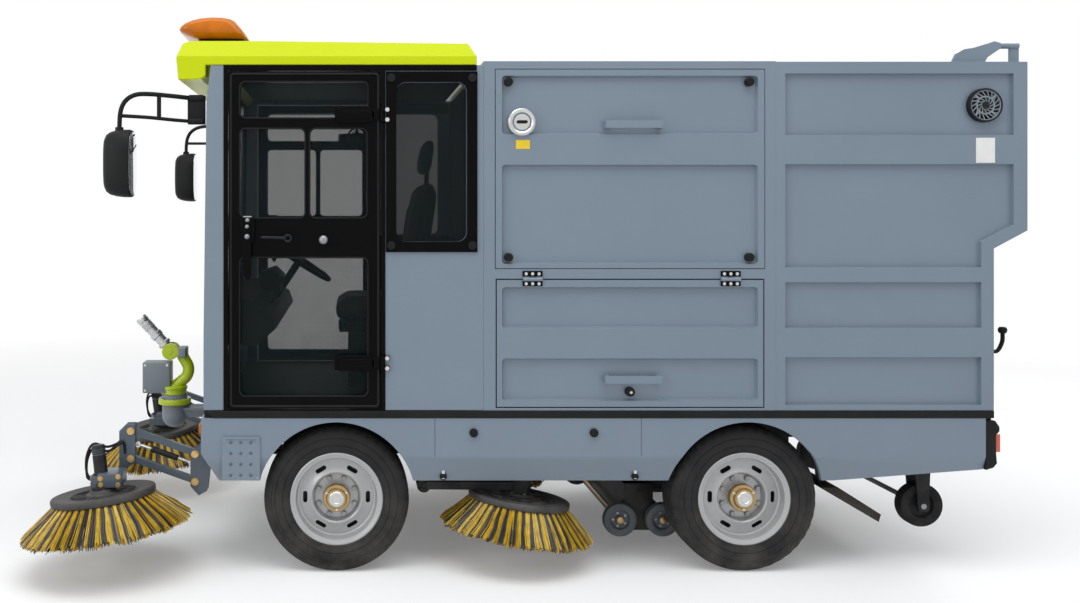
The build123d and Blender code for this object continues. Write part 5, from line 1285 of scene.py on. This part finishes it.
def buildFan(work):
    centre = (0.693, -0.56, 1.933)
    for radius in (0.05, 0.035, 0.02):
        circle = [Vector((centre[0] + radius * math.cos(a), centre[1] + 0.018,
                          centre[2] + radius * math.sin(a))) for a in [2 * math.pi * step / 28
                                                                       for step in range(28)]]
        addPipe(work, circle, 0.0018, 8, closed=True)
    addTurned(work, [(0.046, -0.016), (0.052, -0.016), (0.054, 0.016), (0.048, 0.018), (0.046, -0.016)],
              centre, (0, 1, 0), 40)
    for index in range(16):
        a = 2 * math.pi * index / 16
        addPipe(work, [Vector((centre[0] + r * math.cos(a), centre[1] + 0.019, centre[2] + r * math.sin(a)))
                       for r in (0.012, 0.051)], 0.0012, 6)
    addTurned(work, [(0, -0.03), (0.026, -0.028), (0.03, -0.01), (0.012, 0.018), (0, 0.019)], centre,
              (0, 1, 0), 24)
    addPipe(work, [Vector(centre) + Vector((0, -0.02, 0)), Vector(centre) + Vector((0, -0.06, 0.03)),
                   Vector(centre) + Vector((0, -0.085, 0.09))], 0.008, 10)


makePiece("cabFan", buildFan, "chassis", "motorPaint", smooth=40)

seat = {"pressure": 4.0, "voxel": 0.006, "frames": 20, "cap": 0.018}


def padBlock(name, low, high, lean=0.0, corner=0.045, cuts=7):
    # A rounded block, leaned back along X with height, ready to swell
    work = bmesh.new()
    bmesh.ops.create_cube(work, size=1.0)
    for vert in work.verts:
        vert.co = Vector([low[i] + (vert.co[i] + 0.5) * (high[i] - low[i]) for i in range(3)])
    bmesh.ops.subdivide_edges(work, edges=work.edges, cuts=cuts, use_grid_fill=True)
    centre = [(low[i] + high[i]) / 2 for i in range(3)]
    half = [(high[i] - low[i]) / 2 for i in range(3)]
    for vert in work.verts:
        inner = [max(-half[i] + corner, min(half[i] - corner, vert.co[i] - centre[i])) if half[i] > corner
                 else 0.0 for i in range(3)]
        away = Vector([vert.co[i] - centre[i] - inner[i] for i in range(3)])
        reach = Vector([corner if half[i] > corner else half[i] for i in range(3)])
        if away.length > 1e-6:
            way = Vector([away[i] / reach[i] for i in range(3)])
            if way.length > 1e-6:
                way.normalize()
                away = Vector([way[i] * reach[i] for i in range(3)])
        vert.co = Vector([centre[i] + inner[i] + away[i] for i in range(3)])
        vert.co.x -= (vert.co.z - low[2]) * lean
    mesh = bpy.data.meshes.new(name)
    work.to_mesh(mesh)
    work.free()
    return newPiece(name, mesh)


def inflate(piece):
    # Pressure cloth on a voxel copy; how far a point may swell is capped
    remesh = piece.modifiers.new("voxels", "REMESH")
    remesh.mode = "VOXEL"
    remesh.voxel_size = seat["voxel"]
    bakeModifiers(piece)
    before = [vert.co.copy() for vert in piece.data.vertices]
    cloth = piece.modifiers.new("cloth", "CLOTH")
    cloth.settings.use_pressure = True
    cloth.settings.uniform_pressure_force = seat["pressure"]
    cloth.settings.effector_weights.gravity = 0
    cloth.settings.quality = 5
    cloth.settings.tension_stiffness = 40
    cloth.settings.compression_stiffness = 40
    cloth.settings.bending_stiffness = 2
    cloth.point_cache.frame_start = 1
    cloth.point_cache.frame_end = seat["frames"]
    for step in range(1, seat["frames"] + 1):
        bpy.context.scene.frame_set(step)
    bakeModifiers(piece)
    bpy.context.scene.frame_set(1)
    for vert, rest in zip(piece.data.vertices, before):
        moved = vert.co - rest
        if moved.length > seat["cap"]:
            vert.co = rest + moved * (seat["cap"] / moved.length)
    return piece


def sewChannels(piece, lines, along, depth=0.006, width=0.007, facing=(0, 0, 1)):
    # Sewn channels pressed in after the swelling, on the faces that look the given way
    way = Vector(facing).normalized()
    mesh = piece.data
    normals = [vert.normal.copy() for vert in mesh.vertices]
    for vert, normal in zip(mesh.vertices, normals):
        look = max(0.0, normal.dot(way))
        if look > 0.35:
            sink = sum(math.exp(-((vert.co[along] - line) / width) ** 2) for line in lines)
            vert.co -= normal * depth * min(1.0, sink) * look


def finishPad(piece, channels=None):
    inflate(piece)
    if channels:
        sewChannels(piece, **channels)
    subdivide = piece.modifiers.new("smooth", "SUBSURF")
    subdivide.levels = 1
    subdivide.render_levels = 1
    bakeModifiers(piece)
    finishPiece(piece, "chassis", "seatVinyl", smooth=60)
    return piece


cushion = padBlock("seatCushion", (0.384, -0.232, 1.016), (0.806, 0.232, 1.112), corner=0.04)
finishPad(cushion, {"lines": (-0.085, 0.0, 0.085), "along": 1})
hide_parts("seat")
back = padBlock("seatBack", (0.408, -0.213, 1.128), (0.48, 0.213, 1.672), lean=0.155, corner=0.034)
finishPad(back, {"lines": (-0.08, 0.0, 0.08), "along": 1, "facing": (1, 0, 0.15)})
for side in sides:
    low, high = sorted((side * 0.182, side * 0.222))
    bolster = padBlock("seatBolster_" + tags[side], (0.44, low, 1.185), (0.498, high, 1.56), lean=0.155,
                       corner=0.019)
    finishPad(bolster)
headrest = padBlock("headRest", (0.348, -0.13, 1.712), (0.398, 0.13, 1.872), lean=0.155, corner=0.024)
finishPad(headrest)


def buildSeatMetal(work):
    for side in sides:
        addPipe(work, [(0.358, side * 0.07, 1.65), (0.352, side * 0.07, 1.735)], 0.0065, 12)
        low, high = sorted((side * 0.236, side * 0.25))
        addBox(work, (0.385, low, 1.004), (0.47, high, 1.175))
    addPipe(work, [(0.62, 0.236, 1.035), (0.56, 0.262, 1.04), (0.5, 0.262, 1.06)], 0.006, 10)


makePiece("seatMetal", buildSeatMetal, "chassis", "motorPaint", smooth=40)
print("cab inside done")

# Fittings on the sides: filler, hinges, lock, plates, grille
fitting = {"skin": 0.725, "fillerX": 0.01, "fillerZ": 1.904, "hingeX": (-0.035, -0.866),
           "hingeZ": 1.244, "lockX": -0.4455, "lockZ": 0.771, "grilleX": -1.937, "grilleZ": 1.975}


def makeSlatTree():
    # Short slats set round a centre and twisted, for the round grille
    tree, given, result = nodeTree("slatRing", [
        ("Geometry", "NodeSocketGeometry", None), ("Slats", "NodeSocketInt", 18),
        ("Radius", "NodeSocketFloat", 0.045),
        ("Slat Size", "NodeSocketVector", (0.03, 0.004, 0.006)), ("Twist", "NodeSocketFloat", 0.5),
        ("Material", "NodeSocketMaterial", None)])
    value = given.outputs
    ring = addNode(tree, "GeometryNodeMeshCircle")
    index = addNode(tree, "GeometryNodeInputIndex").outputs[0]
    slat = addNode(tree, "GeometryNodeMeshCube")
    turn = addNode(tree, "ShaderNodeCombineXYZ")
    spots = addNode(tree, "GeometryNodeInstanceOnPoints")
    real = addNode(tree, "GeometryNodeRealizeInstances")
    paint = addNode(tree, "GeometryNodeSetMaterial")
    angle = calc(tree, "MULTIPLY", calc(tree, "DIVIDE", index, value["Slats"]), 2 * math.pi)
    join(tree, (value["Slats"], ring.inputs["Vertices"]), (value["Radius"], ring.inputs["Radius"]),
         (value["Slat Size"], slat.inputs["Size"]), (calc(tree, "ADD", angle, value["Twist"]),
                                                     turn.inputs[2]), (ring.outputs[0],
                                                                       spots.inputs["Points"]),
         (slat.outputs["Mesh"], spots.inputs["Instance"]), (turn.outputs[0], spots.inputs["Rotation"]),
         (spots.outputs[0], real.inputs[0]), (real.outputs[0], paint.inputs["Geometry"]),
         (value["Material"], paint.inputs["Material"]), (paint.outputs[0], result.inputs["Geometry"]))
    return tree


slatTree = makeSlatTree()


def addSlats(name, body, centre, side, slats, radius, size, twist, material):
    piece = newPiece(name, bpy.data.meshes.new(name))
    ring = piece.modifiers.new("slats", "NODES")
    ring.node_group = slatTree
    setInputs(ring, slatTree, **{"Slats": slats, "Radius": radius, "Slat Size": size, "Twist": twist,
                                 "Material": finish[material]})
    bakeModifiers(piece)
    piece.data.transform(Matrix.Translation(Vector(centre)) @ Matrix.Rotation(math.radians(-90 * side), 4,
                                                                              "X"))
    return finishPiece(piece, body, None, smooth=0)


for side in sides:
    tag = tags[side]
    skin = fitting["skin"]

    def buildFiller(work):
        centre = (fitting["fillerX"], side * skin, fitting["fillerZ"])
        addTurned(work, [(0, 0.0105), (0.026, 0.0125), (0.034, 0.0115), (0.0365, 0.006), (0.0385, 0.006),
                         (0.0405, 0.0135), (0.046, 0.0165), (0.053, 0.0155), (0.0585, 0.0105), (0.059, -0.01),
                         (0, -0.01)], centre, (0, side, 0), 56)
    makePiece("fillerCap_" + tag, buildFiller, "chassis", "brightSteel", smooth=30)

    def buildFillerGrip(work):
        low, high = sorted((side * (skin + 0.011), side * (skin + 0.0215)))
        addOutline(work, stadium(fitting["fillerX"] - 0.023, fitting["fillerX"] + 0.023, fitting["fillerZ"],
                                 0.0065), low, high)
    makePiece("fillerGrip_" + tag, buildFillerGrip, "chassis", "trimPlastic", smooth=40,
              bevel=(0.002, 2))

    def buildPlates(work, zLow, zHigh):
        low, high = sorted((side * (skin + 0.0048), side * (skin + 0.0068)))
        for x in fitting["hingeX"]:
            addBox(work, (x - 0.042, low, fitting["hingeZ"] + zLow),
                   (x + 0.042, high, fitting["hingeZ"] + zHigh))
    for name, body, zLow, zHigh in (("lockerLeaf_", "locker_door_" + tag, -0.0285, -0.0085),
                                    ("bodyLeaf_", "chassis", 0.0115, 0.035)):
        leaf = newPiece(name + tag, meshFrom(name + tag, lambda work: buildPlates(work, zLow, zHigh)))
        bevelPiece(leaf, 0.0012, 2)
        finishPiece(leaf, body, "doorPaint", smooth=40)
        spots = [((x + dx, side * (skin + 0.0068), fitting["hingeZ"] + (zLow + zHigh) / 2), (0, side, 0))
                 for x in fitting["hingeX"] for dx in (-0.027, 0.0, 0.027)]
        setNuts(name + "bolts_" + tag, body, spots, "brightSteel", radius=0.0052, height=0.003,
                washer=0.0068, corners=16)

    def buildLock(work):
        centre = (fitting["lockX"], side * (skin + 0.004), fitting["lockZ"])
        addTurned(work, [(0, 0.012), (0.01, 0.012), (0.0175, 0.009), (0.0195, 0.0), (0.0195, -0.02),
                         (0, -0.02)], centre, (0, side, 0), 32)
    makePiece("lockerLock_" + tag, buildLock, "locker_door_" + tag, "trimPlastic", smooth=40)

    def buildKeyhole(work):
        centre = (fitting["lockX"], side * (skin + 0.016), fitting["lockZ"])
        addTurned(work, [(0, 0.003), (0.0055, 0.003), (0.007, 0.001), (0.007, -0.004), (0, -0.004)], centre,
                  (0, side, 0), 20)
    makePiece("lockerKey_" + tag, buildKeyhole, "locker_door_" + tag, "brightSteel", smooth=40)

    for name, material, x0, x1, z0, z1 in (("blankPlateYellow_", "plateYellow", -0.025, 0.034, 1.791, 1.829),
                                           ("blankPlateWhite_", "plateWhite", -1.978, -1.898, 1.733, 1.838)):
        def buildPlate(work):
            low, high = sorted((side * (skin + 0.0002), side * (skin + 0.0012)))
            addBox(work, (x0, low, z0), (x1, high, z1))
        makePiece(name + tag, buildPlate, "chassis", material, smooth=30, bevel=(0.0004, 1))

    def buildGrille(work):
        centre = (fitting["grilleX"], side * (skin - 0.01), fitting["grilleZ"])
        addTurned(work, [(0, 0.004), (0.062, 0.004), (0.063, 0.0165), (0.0655, 0.018), (0.07, 0.0175),
                         (0.0715, 0.015), (0.0715, -0.006), (0, -0.006)], centre, (0, side, 0), 56)
        addTurned(work, [(0, 0.004), (0.016, 0.004), (0.016, 0.015), (0.01, 0.0165), (0, 0.0168)], centre,
                  (0, side, 0), 24)
    makePiece("fanGrille_" + tag, buildGrille, "chassis", "motorPaint", smooth=35)
    for row, (count, radius, length) in enumerate(((18, 0.0505, 0.024), (12, 0.027, 0.021))):
        addSlats("grilleSlats%d_" % row + tag, "chassis", (fitting["grilleX"], side * (skin - 0.001),
                                                           fitting["grilleZ"]), side, count, radius,
                 (length, 0.0036, 0.011), 0.55, "dullSteel")

    # Chrome tongues of the skirt catches and the step's fixings
    def buildTongues(work):
        low, high = sorted((side * 0.7, side * 0.7065))
        for x in (0.337, -0.473):
            addBox(work, (x - 0.006, low, 0.4), (x + 0.006, high, 0.436))
    makePiece("skirtCatches_" + tag, buildTongues, "chassis", "brightSteel", smooth=40,
              bevel=(0.0015, 2))
    spots = [((1.188 + dx, side * 0.731, 0.491 + dz), (0, side, 0)) for dx in (-0.07, 0.07)
             for dz in (-0.08, 0.08)]
    setNuts("stepBolts_" + tag, "chassis", spots, "dullSteel", radius=0.0048, height=0.003,
            washer=0.007)

    def buildStepLip(work):
        low, high = sorted((side * 0.73, side * 0.7365))
        addBox(work, (1.108, low, 0.5735), (1.268, high, 0.5825))
    makePiece("stepLip_" + tag, buildStepLip, "chassis", "bodyPaint", smooth=40,
              bevel=(0.002, 2))
print("side fittings done")

# Rollers and nozzle wheels, the dirt blade, and the tailgate's clamps
roll = {"rollerX": -1.781, "rollerZ": 0.237, "rollerY": 0.5, "rollerRadius": 0.095, "wheelZ": 0.15,
        "wheelRadius": 0.075}


def rollerProfile(radius, half):
    return [(0.0, half - 0.006), (0.02, half - 0.006), (0.021, half - 0.014), (radius * 0.52, half - 0.016),
            (radius * 0.58, half - 0.004), (radius * 0.66, half - 0.001), (radius * 0.9, half),
            (radius * 0.97, half - 0.003), (radius, half - 0.01), (radius, 0.004), (radius - 0.0025, 0.003),
            (radius - 0.0025, -0.003), (radius, -0.004), (radius, -half + 0.01),
            (radius * 0.97, -half + 0.003), (radius * 0.9, -half), (radius * 0.58, -half + 0.004),
            (0.021, -half + 0.014), (0.02, -half + 0.006), (0.0, -half + 0.006)]


def buildRollers(work):
    for side in sides:
        addTurned(work, rollerProfile(roll["rollerRadius"], 0.03),
                  (roll["rollerX"], side * roll["rollerY"], roll["rollerZ"]), (0, side, 0), 64)


rollers = makePiece("rearRollers", buildRollers, "rear_rollers", "blackRubber", smooth=35)
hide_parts("rear_rollers")


def buildRollerShaft(work):
    addTurned(work, [(0, -0.5445), (0.0118, -0.5445), (0.0118, 0.5445), (0, 0.5445)],
              (roll["rollerX"], 0, roll["rollerZ"]), (0, 1, 0), 24)
    for side in sides:
        addTurned(work, [(0, 0.036), (0.019, 0.036), (0.019, 0.0395), (0.015, 0.0415), (0, 0.0415)],
                  (roll["rollerX"], side * roll["rollerY"], roll["rollerZ"]), (0, side, 0), 24)


makePiece("rollerShaft", buildRollerShaft, "rear_rollers", "dullSteel", smooth=35)
for label, x in (("front", -0.4765), ("rear", -0.6675)):
    body = "nozzle_wheels_" + label

    def buildWheels(work):
        for side in sides:
            addTurned(work, rollerProfile(roll["wheelRadius"], 0.02), (x, side * 0.436, roll["wheelZ"]),
                      (0, side, 0), 56)
    pair = makePiece("nozzleWheels_" + label, buildWheels, body, "rollerRubber", smooth=35)
    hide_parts(body)

    def buildWheelShaft(work):
        addTurned(work, [(0, -0.4595), (0.0098, -0.4595), (0.0098, 0.4595), (0, 0.4595)],
                  (x, 0, roll["wheelZ"]), (0, 1, 0), 20)
        for side in sides:
            addTurned(work, [(0, 0.014), (0.015, 0.014), (0.015, 0.0225), (0.011, 0.0245), (0, 0.0245)],
                      (x, side * 0.436, roll["wheelZ"]), (0, side, 0), 20)
    makePiece("nozzleShaft_" + label, buildWheelShaft, body, "hubBrass", smooth=35)
    spots = [((x + 0.03 * math.cos(a), side * 0.4405, roll["wheelZ"] + 0.03 * math.sin(a)), (0, side, 0))
             for side in sides for a in [2 * math.pi * index / 5 for index in range(5)]]
    setNuts("nozzleNuts_" + label, body, spots, "dullSteel", radius=0.0042, height=0.003,
            washer=0.0055)


def buildBlade(work):
    # Rubber skin over the hung blade
    addOutline(work, [(-1.488, 0.2745), (-1.408, 0.2745), (-1.673, 0.1165), (-1.684, 0.151)], -0.3715, 0.3715)


makePiece("dirtBlade", buildBlade, "chassis", "bladeRubber", smooth=40, bevel=(0.002, 2))

clamp = {"gripX": -2.026, "screwX": -1.978, "y": 0.605, "z": 0.989}


def buildClampGrips(work):
    for side in sides:
        y = side * clamp["y"]
        addTurned(work, [(0, -0.08), (0.011, -0.08), (0.0145, -0.074), (0.0135, -0.035), (0.0125, -0.02),
                         (0.0165, -0.012), (0.0165, 0.012), (0.0125, 0.02), (0.0135, 0.035), (0.0145, 0.074),
                         (0.011, 0.08), (0, 0.08)], (clamp["gripX"], y, clamp["z"]), (0, 0, 1), 24)
        addPipe(work, smoothPath([(-2.022, y, 0.935), (-2.06, y, 0.925), (-2.084, y, 0.965),
                                  (-2.086, y, 1.01)], 6), 0.0085, 12)
        addTurned(work, [(0, 0.0), (0.014, 0.002), (0.018, 0.012), (0.018, 0.02), (0.012, 0.028), (0, 0.028)],
                  (-2.086, y, 1.002), (0, 0, 1), 20)


makePiece("clampGrips", buildClampGrips, "tailgate", "blackRubber", smooth=40)


def buildClampScrews(work):
    for side in sides:
        y = side * clamp["y"]
        profile = [(0, -0.004), (0.0135, -0.004)]
        for turn in range(7):
            profile += [(0.0138, 0.001 + turn * 0.005), (0.0118, 0.0035 + turn * 0.005)]
        addTurned(work, profile + [(0.0138, 0.04), (0, 0.04)], (clamp["screwX"], y, clamp["z"]), (-1, 0, 0),
                  24)
        addTurned(work, [(0, -0.001), (0.024, -0.001), (0.024, 0.004), (0.0135, 0.007), (0, 0.007)],
                  (clamp["screwX"], y, clamp["z"]), (-1, 0, 0), 24)
        addTurned(work, [(0, -0.0385), (0.0105, -0.0385), (0.0105, -0.0345), (0.006, -0.0335), (0, -0.0335)],
                  (-1.982, side * 0.6405, 2.234), (0, -1, 0), 20)


makePiece("clampScrews", buildClampScrews, "tailgate", "brightSteel", smooth=35)

# Water monitor: rings on the pipe, motor housings and the nozzle's coupling
monitor = {"x": 1.59, "barrelX": 1.607, "barrelZ": 0.846, "tilt": math.radians(47)}


def buildMonitorBoxes(work):
    addBox(work, (1.6065, -0.0465, 0.6445), (1.7405, 0.0465, 0.7945))
    addBox(work, (1.5295, -0.0455, 0.8145), (1.569, 0.0455, 0.8655))


makePiece("monitorMotors", buildMonitorBoxes, "monitor_yoke", "monitorHousing", smooth=40,
          bevel=(0.006, 3))
spots = [((x, 0.0465 * side, z), (0, side, 0)) for side in sides for x in (1.62, 1.727)
         for z in (0.658, 0.781)]
setNuts("monitorScrews", "monitor_yoke", spots, "brightSteel", radius=0.0042, height=0.003,
        washer=0.0058)


def buildMonitorRings(work):
    addTurned(work, [(0.028, 0.0), (0.06, 0.0), (0.0615, 0.003), (0.0615, 0.013), (0.058, 0.016),
                     (0.036, 0.018), (0.031, 0.024)], (monitor["x"], 0, 0.66), (0, 0, 1), 48)
    for side in sides:
        low, high = (0.0255, 0.0455)
        addTurned(work, [(0, high + 0.001), (0.012, high + 0.001), (0.014, high - 0.001),
                         (0.036, high - 0.001), (0.0395, high - 0.004), (0.0395, low), (0, low)],
                  (monitor["barrelX"], 0, monitor["barrelZ"]), (0, side, 0), 40)


makePiece("monitorRings", buildMonitorRings, "monitor_yoke", "monitorPaint", smooth=35)


def buildNozzleTip(work):
    way = (math.cos(monitor["tilt"]), 0, math.sin(monitor["tilt"]))
    start = (monitor["barrelX"], 0, monitor["barrelZ"])
    profile = [(0.0195, 0.222), (0.0262, 0.222), (0.0285, 0.218), (0.0285, 0.196), (0.0262, 0.192)]
    for rib in range(4):
        base = 0.186 - rib * 0.01
        profile += [(0.0262, base), (0.0288, base - 0.002), (0.0288, base - 0.006), (0.0262, base - 0.008)]
    profile += [(0.0262, 0.12), (0.031, 0.116), (0.031, 0.096), (0.0262, 0.092), (0.0262, 0.06),
                (0.033, 0.054), (0.033, 0.042), (0.024, 0.04)]
    addTurned(work, profile, start, way, 40)


makePiece("nozzleCoupling", buildNozzleTip, "monitor_barrel", "monitorAlloy", smooth=35)


def buildMonitorFoot(work):
    # Flange ring with a bolt circle over the bowl
    addTurned(work, [(0.06, 0.0), (0.0785, 0.0), (0.079, 0.003), (0.079, 0.022), (0.077, 0.0255),
                     (0.06, 0.0255)], (monitor["x"], 0, 0.5895), (0, 0, 1), 56)


makePiece("monitorFlange", buildMonitorFoot, "chassis", "monitorPaint", smooth=35)
spots = [((monitor["x"] + 0.069 * math.cos(a), 0.069 * math.sin(a), 0.6145), (0, 0, 1))
         for a in [math.pi * k / 4 for k in range(8)]]
setNuts("monitorBolts", "chassis", spots, "brightSteel", radius=0.005, height=0.004,
        washer=0.007)
print("monitor done")

# Front of the cab: screen seal, wiper, lower trim and pipes under the beam
screen = {"low": 1.012, "high": 2.108, "lowX": 1.334, "highX": 1.311, "half": 0.676}


def buildSeal(work):
    loop = []
    for point in roundedLoop(-screen["half"], screen["half"], screen["low"], screen["high"], 0.06, 0.0, 8):
        share = (point.z - screen["low"]) / (screen["high"] - screen["low"])
        loop.append(Vector((screen["lowX"] + share * (screen["highX"] - screen["lowX"]), point.x, point.z)))
    addPipe(work, loop, 0.009, 10, closed=True)


makePiece("screenSeal", buildSeal, "chassis", "blackRubber", smooth=60)


def buildWiper(work):
    addTurned(work, [(0, 0.0), (0.02, 0.0), (0.02, 0.014), (0.012, 0.02), (0, 0.02)], (1.3455, 0.0, 0.965),
              (1, 0, 0), 24)
    addPipe(work, smoothPath([(1.36, 0.0, 0.965), (1.364, 0.1, 1.03), (1.36, 0.3, 1.2), (1.352, 0.44, 1.33)],
                             6), 0.006, 10)
    addPipe(work, smoothPath([(1.349, 0.3, 1.56), (1.351, 0.42, 1.345), (1.353, 0.52, 1.12)], 6), 0.0055, 8)
    addBox(work, (1.3465, -0.64, 0.735), (1.3525, 0.64, 0.965))
    for z in (0.765, 0.8, 0.835, 0.87, 0.905, 0.94):
        addBox(work, (1.352, -0.56, z - 0.006), (1.356, 0.56, z + 0.006))


makePiece("wiperAndGrille", buildWiper, "chassis", "trimPlastic", smooth=45,
          bevel=(0.0012, 2, 50))


def buildUnderPipes(work):
    for side in sides:
        addPipe(work, smoothPath([(1.395, side * 0.455, 0.505), (1.33, side * 0.42, 0.47),
                                  (1.15, side * 0.345, 0.455), (0.7, side * 0.33, 0.452),
                                  (0.38, side * 0.33, 0.45)], 8), 0.011, 12)
        addPipe(work, smoothPath([(1.395, side * 0.47, 0.475), (1.33, side * 0.44, 0.44),
                                  (1.15, side * 0.36, 0.432), (0.7, side * 0.35, 0.43),
                                  (0.3, side * 0.34, 0.436)], 8), 0.009, 12)


makePiece("feedPipes", buildUnderPipes, "chassis", "blackRubber", smooth=60)
print("front and underside done")
